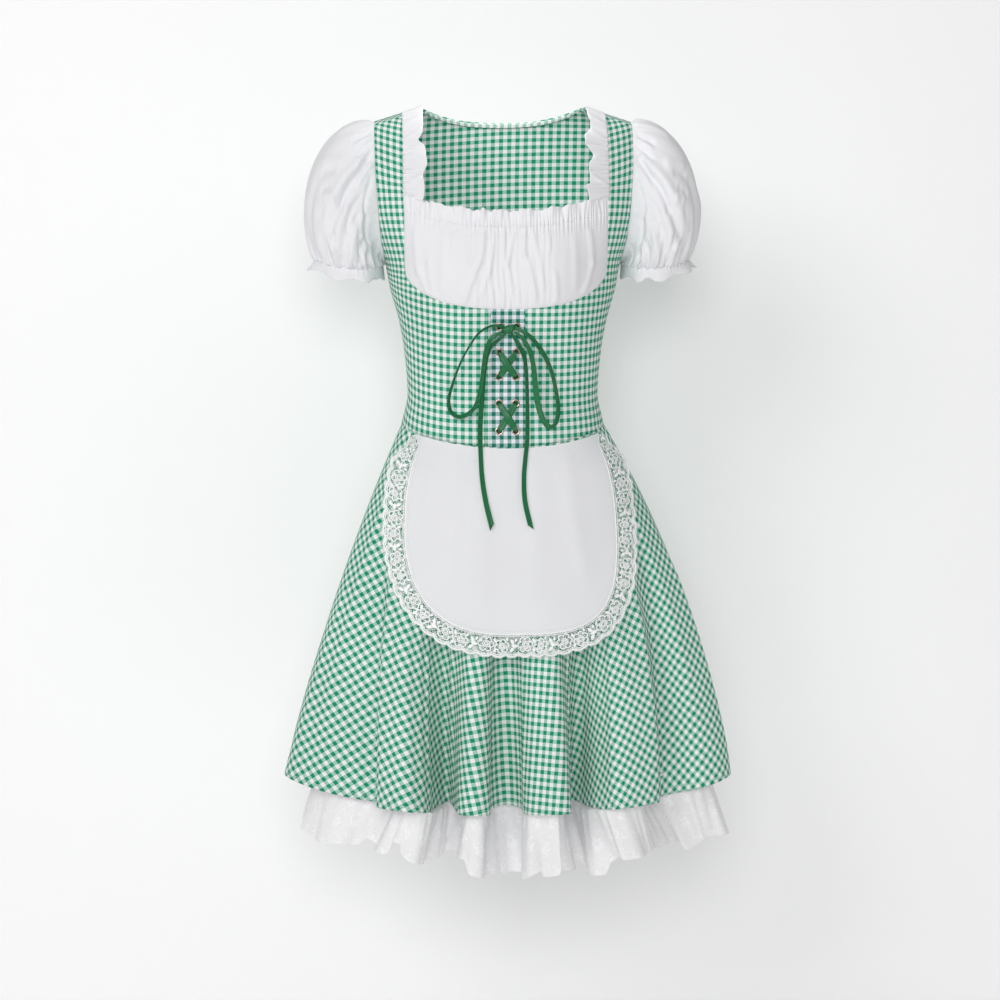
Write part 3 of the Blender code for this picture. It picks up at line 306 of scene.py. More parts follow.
def grid_mesh(name, points, flat=None, closed=False, keep=None):
    """A mesh over rows of points; keep is a mask of the cells that stay."""
    rows, count = points.shape[:2]
    cells = count if closed else count - 1
    r, c = np.meshgrid(np.arange(rows - 1), np.arange(cells), indexing="ij")
    if keep is not None:
        r, c = r[keep], c[keep]
    r, c = r.ravel(), c.ravel()
    d = (c + 1) % count
    corners = np.stack((r * count + c, r * count + d, (r + 1) * count + d, (r + 1) * count + c), 1)
    if flat is not None:
        flat = flat[np.stack((r, r, r + 1, r + 1), 1), np.stack((c, c + 1, c + 1, c), 1)]
    return smooth_mesh(name, points.reshape(-1, 3), corners.tolist(), flat)


def dress_in(piece, material, nodes=()):
    piece.data.materials.append(material)
    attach(piece, "root")
    for node in nodes:
        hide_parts(node)
    return piece


def add_object(name, data):
    piece = bpy.data.objects.new(name, data)
    scene.collection.objects.link(piece)
    return piece


def shell(name, points, flat, material, node, thickness=CLOTH, closed=False, keep=None):
    piece = add_object(name, grid_mesh(name, points, flat, closed, keep))
    if thickness:
        wall = piece.modifiers.new("thickness", "SOLIDIFY")
        wall.thickness = thickness
        wall.offset = 0.0
    return dress_in(piece, material, [node] if node else [])


def flat_size(piece):
    """Width, length and area of the cut that a piece's flat map holds."""
    layer = piece.data.uv_layers["cloth"]
    spots = np.empty(len(layer.data) * 2, np.float32)
    layer.data.foreach_get("uv", spots)
    corners = spots.reshape(-1, 4, 2).astype(float)
    after = np.roll(corners, -1, axis=1)
    area = np.abs((corners[..., 0] * after[..., 1] - corners[..., 1] * after[..., 0]).sum(1)).sum()
    size = corners.reshape(-1, 2).max(0) - corners.reshape(-1, 2).min(0)
    return float(size[0]), float(size[1]), float(area / 2)


def declare_sheet(piece):
    width, length, area = flat_size(piece)
    print(f"{piece.name}: cut {width:.3f} x {length:.3f} m, {area * 1e4:.0f} square cm")


def surface_normals(points, closed=False):
    """Normals of a grid of points, by the grid's own winding."""
    if closed:
        padded = np.concatenate((points[:, -1:], points, points[:, :1]), axis=1)
        across = padded[:, 2:] - padded[:, :-2]
    else:
        across = np.gradient(points, axis=1)
    return unit(np.cross(across, np.gradient(points, axis=0)))


def outward(points, middle, closed=False):
    """A grid's normals, turned to face away from a middle point."""
    out = surface_normals(points, closed)
    return out * np.sign(((points - middle) * out).sum(axis=-1).mean())


def for_side(side, points, flat):
    """A right-hand piece, or for the left its mirror image, wound the same way round."""
    points[..., 0] *= side
    return (points, flat) if side > 0 else (points[:, ::-1], flat[:, ::-1])


def soft_creases(u, v, table):
    """Sum of listed creases: each runs from u0, v0 to u1, v1 and bows sideways."""
    lift = np.zeros(np.broadcast(u, v).shape)
    for u0, v0, u1, v1, bow, width, depth in table:
        du, dv = u1 - u0, v1 - v0
        length = math.hypot(du, dv)
        t = ((u - u0) * du + (v - v0) * dv) / length ** 2
        inside = np.clip(t, 0.0, 1.0)
        off = ((v - v0) * du - (u - u0) * dv) / length - bow * 4 * inside * (1 - inside)
        fade = ease((t + 0.12) / 0.24) * ease((1.12 - t) / 0.3)
        lift += depth * fade * np.exp(-(off / width) ** 2)
    return lift


# %% [markdown]
# ## Shader groups for cloth
# Three effects turn up in several finishes: woven checks, a fine plain weave, and the slight
# unevenness that keeps white cotton from looking like paper. Each is a node group, built once and
# placed in every material that needs it. `Graph` is only shorthand for adding and joining nodes.
#
# In a woven check, coloured and white threads alternate in bands both ways. Where two coloured
# bands cross the cloth is dark, where a coloured band crosses a white one it is a half tone with
# a fine hatch, and elsewhere it is white.

# %% Node shorthand
class Graph:
    """Adds nodes to a tree and joins them, so that a formula reads like one."""

    def __init__(self, tree):
        self.tree = tree

    def node(self, kind, **settings):
        made = self.tree.nodes.new(kind)
        for key, value in settings.items():
            setattr(made, key, value)
        return made

    def feed(self, socket, value):
        if isinstance(value, bpy.types.NodeSocket):
            self.tree.links.new(value, socket)
        else:
            socket.default_value = value

    def feed_all(self, made, values):
        for socket, value in zip(made.inputs, values):
            self.feed(socket, value)
        return made.outputs[0]

    def __getattr__(self, name):
        """Any other method is the Math node of that name: graph.add(a, b), graph.sine(a)."""
        return lambda *values: self.feed_all(
            self.node("ShaderNodeMath", operation=name.upper()), values)

    def blend(self, factor, a, b, kind="Color", **settings):
        """Mixes two colours. The node has sockets for every kind, told apart by identifier."""
        made = self.node("ShaderNodeMix", data_type="RGBA" if kind == "Color" else "FLOAT",
                         **settings)
        for name, value in (("Factor_Float", factor), ("A_" + kind, a), ("B_" + kind, b)):
            self.feed(next(s for s in made.inputs if s.identifier == name), value)
        return next(s for s in made.outputs if s.identifier == "Result_" + kind)

    def between(self, factor, a, b):
        """Mixes two numbers."""
        return self.blend(factor, a, b, "Float")

    def range(self, *values):
        """A value that runs smoothly from low to high, and what those two become."""
        return self.feed_all(self.node("ShaderNodeMapRange", interpolation_type="SMOOTHSTEP"),
                             values)

    def noise(self, place, scale, detail=2.0):
        made = self.node("ShaderNodeTexNoise")
        for name, value in (("Vector", place), ("Scale", scale), ("Detail", detail)):
            self.feed(made.inputs[name], value)
        return made.outputs["Fac"]

    def split(self, vector):
        made = self.node("ShaderNodeSeparateXYZ")
        self.feed(made.inputs[0], vector)
        return made.outputs[0], made.outputs[1]

    def group(self, tree, **values):
        made = self.node("ShaderNodeGroup", node_tree=tree)
        for name, value in values.items():
            self.feed(made.inputs[name], value)
        return made.outputs


def new_group(name, takes, gives):
    """An empty node group with named sockets, and its graph, inputs and outputs."""
    tree = bpy.data.node_groups.new(name, "ShaderNodeTree")
    for socket, kind in takes:
        tree.interface.new_socket(socket, in_out="INPUT", socket_type="NodeSocket" + kind)
    for socket, kind in gives:
        tree.interface.new_socket(socket, in_out="OUTPUT", socket_type="NodeSocket" + kind)
    graph = Graph(tree)
    start = graph.node("NodeGroupInput").outputs
    end = graph.node("NodeGroupOutput").inputs
    return graph, start, end


# %% Woven checks
def threads(graph, u, v, pitch):
    """Which thread lies on top in a plain weave, and how high its rounded back stands."""
    places = [graph.floor(graph.divide(along, pitch)) for along in (u, v)]
    over = graph.floored_modulo(graph.add(*places), 2.0)
    turns = [graph.absolute(graph.sine(graph.multiply(graph.divide(along, pitch), math.pi)))
             for along in (u, v)]
    return over, graph.between(over, turns[1], turns[0])


def woven_check_group():
    graph, start, end = new_group(
        "woven check",
        (("Place", "Vector"), ("Check", "Float"), ("Pitch", "Float"), ("Hatch", "Float"),
         ("Dark", "Color"), ("Half", "Color"), ("White", "Color")),
        (("Colour", "Color"), ("Height", "Float")))
    u, v = graph.split(start["Place"])
    repeat = graph.multiply(start["Check"], 2.0)
    bands = [graph.less_than(graph.fract(graph.divide(along, repeat)), 0.5)
             for along in (u, v)]
    over, height = threads(graph, u, v, start["Pitch"])
    both = graph.multiply(*bands)
    either = graph.maximum(*bands)
    top = graph.between(over, bands[1], bands[0])
    hatch = graph.blend(top, start["White"], start["Dark"])
    half = graph.blend(start["Hatch"], start["Half"], hatch)
    colour = graph.blend(both, graph.blend(either, start["White"], half), start["Dark"])
    graph.feed(end["Colour"], colour)
    graph.feed(end["Height"], height)
    return graph.tree


def plain_weave_group():
    graph, start, end = new_group("plain weave", (("Place", "Vector"), ("Pitch", "Float")),
                                  (("Height", "Float"),))
    u, v = graph.split(start["Place"])
    graph.feed(end["Height"], threads(graph, u, v, start["Pitch"])[1])
    return graph.tree


def uneven_group():
    """A slow drift in shade over a piece, and finer slubs in its threads."""
    graph, start, end = new_group("uneven", (("Place", "Vector"), ("Least", "Float")),
                                  (("Shade", "Float"),))
    slow = graph.noise(start["Place"], 9.0)
    fine = graph.noise(start["Place"], 420.0)
    mixed = graph.between(0.35, slow, fine)
    graph.feed(end["Shade"], graph.range(mixed, 0.25, 0.75, start["Least"], 1.0))
    return graph.tree


WOVEN_CHECK = woven_check_group()
PLAIN_WEAVE = plain_weave_group()
UNEVEN = uneven_group()
print("shader groups:", [tree.name for tree in bpy.data.node_groups])

# %% [markdown]
# ## Finishes
# Each finish is one Principled shader fed by the groups. Cotton is rough with hardly any shine.
# The gingham's checks are 4.7 mm, which is the small size usual on a bodice. The laced panel is
# cut double, and the second layer shows through as a cooler, deeper tone.

# %% Cotton finishes
CHECK = 0.0047
THREAD = 0.0006
GREEN = (0.01, 0.27, 0.145, 1.0)
HALF_GREEN = (0.3, 0.6, 0.48, 1.0)
CREAM = (0.88, 0.845, 0.845, 1.0)
PANEL_GREEN = (0.012, 0.175, 0.115, 1.0)
PANEL_HALF_TONE = (0.27, 0.45, 0.45, 1.0)
PANEL_WHITE = (0.85, 0.85, 0.89, 1.0)
COTTON_WHITE = (0.8, 0.797, 0.822, 1.0)
APRON_WHITE = (0.86, 0.858, 0.88, 1.0)


class Finish(Graph):
    """A material of one Principled shader; its pattern lies on the flat cloth or in space."""

    def __init__(self, name, slot, roughness, in_space=False, **sockets):
        self.material = bpy.data.materials.new(name)
        self.material.use_nodes = True
        super().__init__(self.material.node_tree)
        self.shader = self.tree.nodes["Principled BSDF"]
        for socket, value in {"Roughness": roughness, **sockets}.items():
            self.put(socket.replace("_", " "), value)
        if in_space:
            self.place = self.node("ShaderNodeTexCoord").outputs["Object"]
        else:
            self.place = self.node("ShaderNodeUVMap", uv_map="cloth").outputs[0]

    def put(self, socket, value):
        self.feed(self.shader.inputs[socket], value)

    def colour(self, colour, least):
        """Base colour, with the slow drift of the group *uneven* in it."""
        shade = self.group(UNEVEN, Place=self.place, Least=least)["Shade"]
        self.put("Base Color", self.blend(1.0, colour, shade, blend_type="MULTIPLY"))

    def raise_by(self, height, strength, depth):
        bump = self.node("ShaderNodeBump")
        for name, value in (("Strength", strength), ("Distance", depth), ("Height", height)):
            self.feed(bump.inputs[name], value)
        self.put("Normal", bump.outputs[0])


def gingham(name, dark, half, white):
    cloth = Finish(name, "gingham", 0.9, Specular_IOR_Level=0.12)
    check = cloth.group(WOVEN_CHECK, Place=cloth.place, Check=CHECK, Pitch=THREAD, Hatch=0.3,
                        Dark=dark, Half=half, White=white)
    cloth.colour(check["Colour"], 0.93)
    cloth.raise_by(check["Height"], 0.35, 0.00012)
    return cloth.material


def white_cotton(name, pitch, white, **sockets):
    cloth = Finish(name, "cotton", 0.8, Specular_IOR_Level=0.3, **sockets)
    cloth.colour(white, 0.95)
    weave = cloth.group(PLAIN_WEAVE, Place=cloth.place, Pitch=pitch)["Height"]
    cloth.raise_by(weave, 0.25, 0.0001)
    return cloth.material


GINGHAM = gingham("gingham_cotton", GREEN, HALF_GREEN, CREAM)
GINGHAM_DOUBLE = gingham("gingham_doubled", PANEL_GREEN, PANEL_HALF_TONE, PANEL_WHITE)
COTTON = white_cotton("white_cotton", 0.0005, COTTON_WHITE)
APRON_COTTON = white_cotton("sheer_cotton", 0.0006, APRON_WHITE, Alpha=0.9)

# %% Thread, satin and metal finishes
SATIN_GREEN = (0.01, 0.16, 0.052, 1.0)
LACE_WHITE = (0.965, 0.965, 0.968, 1.0)
EYELET_METAL = (0.62, 0.44, 0.38, 1.0)


def thread_finish(name, slot, colour, roughness):
    """Twisted thread: fine slanting ridges."""
    thread = Finish(name, slot, roughness, in_space=True)
    thread.colour(colour, 0.9)
    thread.raise_by(thread.noise(thread.place, 2600.0), 0.3, 0.0001)
    return thread.material


def satin_finish():
    """Ribbon satin: fine ribs across its width and a smooth lengthwise gloss."""
    satin = Finish("ribbon_satin", "satin", 0.38, Specular_IOR_Level=0.38)
    ribs = satin.sine(satin.multiply(satin.split(satin.place)[1], 2 * math.pi / 0.0007))
    satin.colour(SATIN_GREEN, 0.8)
    streaks = satin.noise(satin.place, 900.0)
    satin.put("Roughness", satin.range(streaks, 0.3, 0.7, 0.32, 0.46))
    satin.raise_by(ribs, 0.25, 0.00006)
    return satin.material


def eyelet_finish():
    metal = Finish("eyelet_metal", "eyelet", 0.3, in_space=True, Metallic=1.0)
    metal.colour(EYELET_METAL, 0.82)
    scuffs = metal.noise(metal.place, 1500.0, 4.0)
    metal.put("Roughness", metal.range(scuffs, 0.3, 0.7, 0.18, 0.4))
    return metal.material


LACE_THREAD = thread_finish("lace_thread", "lace", LACE_WHITE, 0.78)
WHITE_THREAD = thread_finish("sewing_thread_white", "cotton", COTTON_WHITE, 0.7)
SATIN = satin_finish()
METAL = eyelet_finish()

# %% [markdown]
# ## Tulle
# Tulle is mostly holes: a fine net that lets some light through. From three metres its meshes
# are too small to see, so an even veil stands for them. The embroidered sprigs are denser. Each
# is a ring of petals drawn from its own polar coordinates on the flat cloth, and turned a little
# from one repeat to the next.

# %% Tulle finish
SPRIG = 0.03                 # repeat of the embroidered sprigs


def sprig_group():
    """Flowers with five petals and a trailing stem, one to each repeat of the cloth."""
    graph, start, end = new_group("sprigs", (("Place", "Vector"), ("Repeat", "Float")),
                                  (("Mask", "Float"),))
    place, repeat = start["Place"], start["Repeat"]
    u, v = [graph.add(along, graph.multiply(graph.subtract(
        graph.noise(place, scale, 1.0), 0.5), 0.016))
        for along, scale in zip(graph.split(place), (70.0, 85.0))]
    row = graph.floor(graph.divide(v, repeat))
    shifted = graph.add(graph.divide(u, repeat), graph.multiply(row, 0.5))
    across = graph.subtract(graph.fract(shifted), 0.5)
    upward = graph.subtract(graph.fract(graph.divide(v, repeat)), 0.5)
    turn = graph.add(graph.arctan2(upward, across), graph.floor(shifted))
    reach = graph.sqrt(graph.add(graph.multiply(across, across), graph.multiply(upward, upward)))
    petals = graph.absolute(graph.cosine(graph.multiply(turn, 2.5)))
    edge = graph.between(petals, 0.11, 0.27)
    flower = graph.range(graph.subtract(edge, reach), -0.015, 0.015)
    hollow = graph.range(reach, 0.045, 0.065)
    wander = graph.multiply(graph.sine(graph.multiply(across, 9.4)), 0.12)
    away = graph.absolute(graph.subtract(upward, graph.add(wander, 0.36)))
    stem = graph.multiply(graph.range(away, 0.045, 0.02), 0.8)
    graph.feed(end["Mask"], graph.maximum(graph.multiply(flower, hollow), stem))
    return graph.tree


SPRIGS = sprig_group()


def tulle_finish():
    net = Finish("embroidered_tulle", "lace", 0.74)
    mask = net.group(SPRIGS, Place=net.place, Repeat=SPRIG)["Mask"]
    net.colour(net.blend(mask, (0.85, 0.842, 0.856, 1.0), (0.885, 0.885, 0.895, 1.0)), 0.94)
    net.put("Alpha", net.between(mask, 0.9, 0.97))
    net.raise_by(mask, 0.35, 0.0004)
    return net.material


TULLE = tulle_finish()

# %% [markdown]
# ## The ribbon
# One narrow satin ribbon laces the panel through ten eyelets and is tied above them in a bow. Its
# free parts are two loops and two tails, a fixed length of something limp, and the frame's ribbon
# solids already follow their route: each row below gives a place over the front, how far off the
# cloth the ribbon hangs there, and how far it has twisted.

# %% The ribbon's route
RIBBON_WIDTH = 0.008
RIBBON_LOOSE = 0.0066         # across the free stretches, whose edges curl
RIBBON_THICK = 0.00035
RIBBON_CURL = 0.0007          # how far a free stretch's middle bows out of its edges' plane
RIBBON_PINCH = (0.45, 0.75)   # share of its width at the knot, and one point further on
TAIL_SLANT = 0.0035           # how far a cut end's edges lie ahead of and behind its middle
BOW_LOOP_LEFT = (
    # x,      z,      lift,   turn of the ribbon's width out of the surface, degrees
    (-0.006, -0.264, 0.0098, 20),
    (-0.019, -0.2612, 0.013, 40),
    (-0.033, -0.269, 0.014, 62),
    (-0.0454, -0.289, 0.012, 74),
    (-0.0545, -0.31, 0.0105, 80),
    (-0.062, -0.333, 0.0095, 80),
    (-0.0668, -0.356, 0.009, 78),
    (-0.0635, -0.372, 0.009, 60),
    (-0.052, -0.376, 0.0095, 40),
    (-0.038, -0.365, 0.0105, 38),
    (-0.031, -0.342, 0.012, 42),
    (-0.028, -0.315, 0.013, 45),
    (-0.0245, -0.289, 0.014, 42),
    (-0.0175, -0.2745, 0.012, 30),
    (-0.006, -0.2697, 0.009, 20),
)
BOW_LOOP_RIGHT = (
    # x,     z,      lift,   turn
    (0.0067, -0.264, 0.0098, 20),
    (0.023, -0.273, 0.013, 22),
    (0.039, -0.295, 0.0125, 30),
    (0.049, -0.318, 0.011, 32),
    (0.055, -0.343, 0.01, 26),
    (0.0583, -0.367, 0.009, 18),
    (0.056, -0.383, 0.009, 22),
    (0.049, -0.3885, 0.009, 30),
    (0.041, -0.38, 0.0095, 26),
    (0.0345, -0.36, 0.0105, 16),
    (0.0315, -0.337, 0.0115, 24),
    (0.029, -0.312, 0.0125, 44),
    (0.0235, -0.289, 0.0135, 40),
    (0.015, -0.2755, 0.012, 28),
    (0.0067, -0.2697, 0.009, 20),
)
RIBBON_TAIL_LEFT = (
    # x,      z,      lift,   turn
    (-0.0034, -0.2716, 0.0088, 15),
    (-0.011, -0.279, 0.0075, 25),
    (-0.0215, -0.29, 0.0065, 35),
    (-0.0265, -0.309, 0.006, 42),
    (-0.0285, -0.331, 0.0058, 42),
    (-0.0305, -0.36, 0.0056, 40),
    (-0.0325, -0.391, 0.0056, 38),
    (-0.033, -0.42, 0.0056, 36),
    (-0.0315, -0.449, 0.0056, 30),
    (-0.027, -0.478, 0.0056, 22),
    (-0.0205, -0.505, 0.0056, 12),
)
RIBBON_TAIL_RIGHT = (
    # x,     z,      lift,   turn
    (0.0033, -0.2712, 0.0088, 15),
    (0.0105, -0.283, 0.0076, 25),
    (0.0175, -0.297, 0.0068, 35),
    (0.021, -0.315, 0.0062, 44),
    (0.0225, -0.34, 0.006, 44),
    (0.0232, -0.372, 0.0058, 38),
    (0.0228, -0.403, 0.0056, 34),
    (0.0205, -0.425, 0.0056, 34),
    (0.0185, -0.448, 0.0056, 32),
    (0.0195, -0.475, 0.0056, 28),
    (0.026, -0.505, 0.0056, 26),
)
SKIRT_LENGTH = 0.442
HEM_HALF = 0.274
HEM_FRONT = 0.186
APRON_OFF = (0.0026, 0.009)  # clear of the skirt at the waist, and more at full length
APRON_SIDE_EASE = 0.019      # how much wider and flatter than the skirt it hangs


def apron_point(x, z, lift):
    """Points on the apron: the skirt's smooth cone in front, moved out."""
    x, z = np.broadcast_arrays(np.asarray(x, float), np.asarray(z, float))
    level = waist_line(np.clip(x, -TORSO[0][1], TORSO[0][1]))
    v = np.maximum(0.0, (level - z) / SKIRT_LENGTH)
    half = mix(column(TORSO, level, 1), HEM_HALF, v)
    depth = mix(column(TORSO, level, 2), HEM_FRONT, v)
    off = mix(APRON_OFF[0], APRON_OFF[1], np.minimum(1.0, 2 * v)) + lift
    share = np.minimum(1.0, np.abs(x) / (half + off + APRON_SIDE_EASE * ease(v / 0.12)))
    y = -(depth + off) * (1 - share ** ROUND) ** (1 / ROUND)
    return join(x, y, z)


def lay(x, z, lift):
    """Points over the front: the bodice above the waist, the apron below it."""
    above = body_point(x, z, -1, lift)
    below = apron_point(x, z, lift)
    return np.where((np.asarray(z) > WAIST)[..., None], above, below)


def free_route(table, loop):
    """Centres and half widths of a free stretch, pinched where the knot holds it."""
    x, z, lift, turn = np.array(table).T
    centres = lay(x, z, lift)
    outs = unit(lay(x, z, lift + 0.001) - centres)
    across = unit(np.cross(unit(np.gradient(centres, axis=0)), outs))
    pinch = np.ones(len(table))
    pinch[:2] = RIBBON_PINCH
    if loop:
        pinch[-2:] = RIBBON_PINCH[::-1]
    turn = np.radians(turn)[:, None]
    half = (across * np.cos(turn) + outs * np.sin(turn)) * (RIBBON_LOOSE / 2 * pinch[:, None])
    return centres, half


def ribbon_rows(centres, halves, steps, curl):
    """Five points across at each step along a smooth curve through the route."""
    line = spline(centres, steps)
    wide = spline(halves, steps)
    face = unit(np.cross(np.gradient(line, axis=0), wide))
    shares = np.linspace(-1, 1, 5)
    rows = [line + wide * s + face * (curl * (0.5 - s * s)) for s in shares]
    return line, np.stack(rows, axis=1)


def ribbon_flat(line, rows):
    """Flat map of a ribbon: across its width, and along its length."""
    along = lengths(line)
    u = np.linspace(-RIBBON_WIDTH / 2, RIBBON_WIDTH / 2, rows.shape[1])
    return join(u[None, :], along[:, None])


def make_free_ribbon(name, node, table, loop, slant=0.0):
    """A loop or a tail; a tail's end is cut on the slant."""
    line, rows = ribbon_rows(*free_route(table, loop), 8, RIBBON_CURL)
    ahead = unit(line[-1] - line[-2])
    reach = np.linspace(-1, 1, rows.shape[1])[:, None] * slant
    rows[-1] = rows[-1] + ahead * reach
    piece = shell(name, rows, ribbon_flat(line, rows), SATIN, node, RIBBON_THICK)
    return piece


make_free_ribbon("satin_loop_left", "bow_loop_left", BOW_LOOP_LEFT, True)
make_free_ribbon("satin_loop_right", "bow_loop_right", BOW_LOOP_RIGHT, True)
make_free_ribbon("satin_tail_left", "ribbon_tail_left", RIBBON_TAIL_LEFT, False, TAIL_SLANT)
make_free_ribbon("satin_tail_right", "ribbon_tail_right", RIBBON_TAIL_RIGHT, False, -TAIL_SLANT)

# %% [markdown]
# ## Eyelets and lacing
# A turned eyelet has a smooth rolled rim in front, a barrel through the cloth and a flange behind
# it, so it is a lathe shape: one profile spun round an axis. The ribbon passes down through the
# bores and crosses on the front at two places; between them it runs along the back of the panel.
# In a bore it is squeezed to little more than half its width, and it widens over each crossing.

# %% Eyelets
PANEL_HALF = 0.0202           # half the centre panel's width
EYELET_X = 0.01
EYELET_ROWS = (-0.2659, -0.2968, -0.3267, -0.3591, -0.3924)
EYELET_BORE = 0.0032
EYELET_BARREL = 0.0038
EYELET_RIM = 0.0051
EYELET_HOLE = 0.0042
EYELET_SEAT = 0.0062          # half the flat height that carries a pair
EYELET_LIP = 0.0008
SOLID_WALL = 0.0012           # the frame's cloth wall, which the eyelets were seated on
SEAM = 0.0003
EYELET_SIDES = 36


def eyelet_place(side, height):
    """Centre of an eyelet on the panel's middle surface, and the outward normal there."""
    x = side * EYELET_X
    low = body_point(x, height - EYELET_SEAT, -1)
    high = body_point(x, height + EYELET_SEAT, -1)
    across = body_point(x + 0.002, height, -1) - body_point(x - 0.002, height, -1)
    return (low + high) / 2, unit(np.cross(across, high - low))


def lathe(name, profile, sides):
    """A closed ring: the profile's radii and heights spun round the z axis."""
    angles = np.linspace(0, 2 * math.pi, sides, endpoint=False)
    radius, height = np.array(profile).T[..., None]
    points = join(radius * np.cos(angles), radius * np.sin(angles), height)
    points = np.concatenate((points, points[:1]))[::-1]
    data = grid_mesh(name, points, closed=True)
    form = bmesh.new()
    form.from_mesh(data)
    bmesh.ops.remove_doubles(form, verts=form.verts, dist=1e-7)
    bmesh.ops.recalc_face_normals(form, faces=form.faces)
    form.to_mesh(data)
    form.free()
    return data


def eyelet_profile():
    """Rolled rim, barrel and flange, from the bore outwards and round to the back."""
    low = SOLID_WALL / 2
    middle = (EYELET_BORE + EYELET_RIM) / 2
    half = (EYELET_RIM - EYELET_BORE) / 2
    rim = [(middle - half * math.cos(math.pi * k / 8), low + EYELET_LIP * math.sin(
        math.pi * k / 8) + 0.0003) for k in range(9)]
    back = [(EYELET_BARREL + 0.001, -low - 0.0003), (EYELET_BORE + 0.0003, -low - 0.0008)]
    return rim + [(EYELET_RIM, low), (EYELET_BARREL, low - 0.0002), (EYELET_BARREL, -low)] + back


for row, height in enumerate(EYELET_ROWS, start=1):
    for word, side in SIDES:
        place, out = eyelet_place(side, height)
        ring = add_object(f"turned_eyelet_{row}_{word}", lathe("eyelet", eyelet_profile(),
                                                              EYELET_SIDES))
        turn = Vector(out).to_track_quat("Z", "Y").to_matrix().to_4x4()
        ring.matrix_world = Matrix.Translation(place) @ turn
        dress_in(ring, METAL, [f"eyelet_{row}_{word}"])
print("eyelets:", 2 * len(EYELET_ROWS))

# %% Lacing
LACED_HALF = 0.0037                  # half the laced ribbon's width between eyelets
BORE_HALF = 0.0022                   # and squeezed through one
BORE_TURN = 0.0016                   # how far from a bore's axis the ribbon turns into it
BORE_CLEAR = 0.005                   # how far from it the ribbon lies flat again
KNOT_TIE = (0.0045, -0.2655, 0.005)  # x, z and lift where the laced stretch meets the knot
LACED = (
    # row, side, way, lift of the crossing that follows, or 0 for none
    (0, -1, "in", 0.0),
    (1, -1, "out", 0.0058),
    (2, 1, "in", 0.0),
    (3, 1, "out", 0.0028),
    (4, -1, "in", 0.0),
    (4, 1, "out", 0.0058),
    (3, -1, "in", 0.0),
    (2, -1, "out", 0.0028),
    (1, 1, "in", 0.0),
    (0, 1, "out", 0.0),
)


def laced_route():
    """The ribbon's centres and half widths through all ten bores, from knot to knot."""
    over = SOLID_WALL / 2 + SEAM + EYELET_LIP + SEAM + 0.0007
    places = [eyelet_place(side, EYELET_ROWS[row]) for row, side, way, crossing in LACED]
    ends = [body_point(side * KNOT_TIE[0], KNOT_TIE[1], -1, KNOT_TIE[2]) for side in (-1, 1)]
    stops = [ends[0]] + [place for place, out in places] + [ends[1]]
    upright = np.array((0, 0, LACED_HALF))
    route = [(ends[0], upright)]
    for k, (row, side, way, crossing) in enumerate(LACED):
        place, out = places[k]
        arrive = unit(place - stops[k])
        leave = unit(stops[k + 2] - place)
        lift = over if way == "in" else -over
        wide_in = unit(np.cross(arrive, out))
        wide_out = unit(np.cross(leave, out))
        if wide_in @ wide_out < 0:
            wide_out = -wide_out
        middle = unit(wide_in + wide_out)
        if k > 0:
            route.append((place - arrive * BORE_CLEAR + out * lift, wide_in * LACED_HALF))
        route += [
            (place - arrive * BORE_TURN + out * lift * 0.93, wide_in * BORE_HALF),
            (place + out * lift * 0.35, middle * BORE_HALF),
            (place - out * lift * 0.35, middle * BORE_HALF),
            (place + leave * BORE_TURN - out * lift * 0.93, wide_out * BORE_HALF),
        ]
        if k < len(LACED) - 1:
            crosses = way == "out"
            height = crossing if crosses and crossing else -lift
            half = RIBBON_WIDTH / 2 if crosses else LACED_HALF
            route.append((place + leave * BORE_CLEAR - out * lift, wide_out * LACED_HALF))
            route.append(((place + stops[k + 2]) / 2 + out * height, wide_out * half))
    route.append((ends[1], upright))
    centres, halves = [route[0][0]], [route[0][1]]
    for centre, half in route[1:]:
        centres.append(centre)
        halves.append(half if half @ halves[-1] >= 0 else -half)
    return np.array(centres), np.array(halves)


line, rows = ribbon_rows(*laced_route(), 6, 0.0004)
shell("satin_lacing", rows, ribbon_flat(line, rows), SATIN, "lacing", RIBBON_THICK)
print(f"lacing: {lengths(line)[-1] * 1000:.0f} mm of ribbon through the eyelets")
# %% [markdown]
# ## The bodice
# The bodice is cut from gingham in a back, two side fronts and a narrow laced panel. Its checks
# have to stay square to the cloth, so the flat map is measured on the surface itself:
# `round_from_middle` is the distance round the ring from the centre line, and `up_from_waist` the
# distance up the body. Towards the bust seam the cloth is eased down, more on the left, which
# tilts its rows; two numbers for each side put that tilt into the map.

# %% Measuring the bodice's cloth
WAYPOINTS = np.linspace(0.0, 1.0, 33)
TILT_FROM = 0.045
TILT_FADE = (-0.24, 0.055)    # height where the tilt starts to fade, and over how much
STRAP_MIDDLE = 0.148
STRAP_FADE = (-0.118, 0.04)   # height where the strap's tilt sets in, and over how much


def round_from_middle(x, z, side):
    """Distance round the body from the centre line to x, at height z."""
    stop = angle_of(x, z)[..., None]
    turn = math.pi / 2 + (stop - math.pi / 2) * WAYPOINTS
    level = np.broadcast_to(z[..., None], turn.shape)
    xs = x_at(turn, level)
    ys = body_y(xs, level, side)
    return np.sign(x) * np.hypot(np.diff(xs, axis=-1), np.diff(ys, axis=-1)).sum(axis=-1)


def up_from_waist(x, z, side):
    """Distance up the body from the waist seam, along a line of constant angle."""
    level = WAIST + (z[..., None] - WAIST) * WAYPOINTS
    xs = x_at(angle_of(x, z)[..., None], level)
    ys = body_y(xs, level, side)
    steps = [np.diff(part, axis=-1) for part in (xs, ys, level)]
    return np.sqrt(sum(step ** 2 for step in steps)).sum(axis=-1)


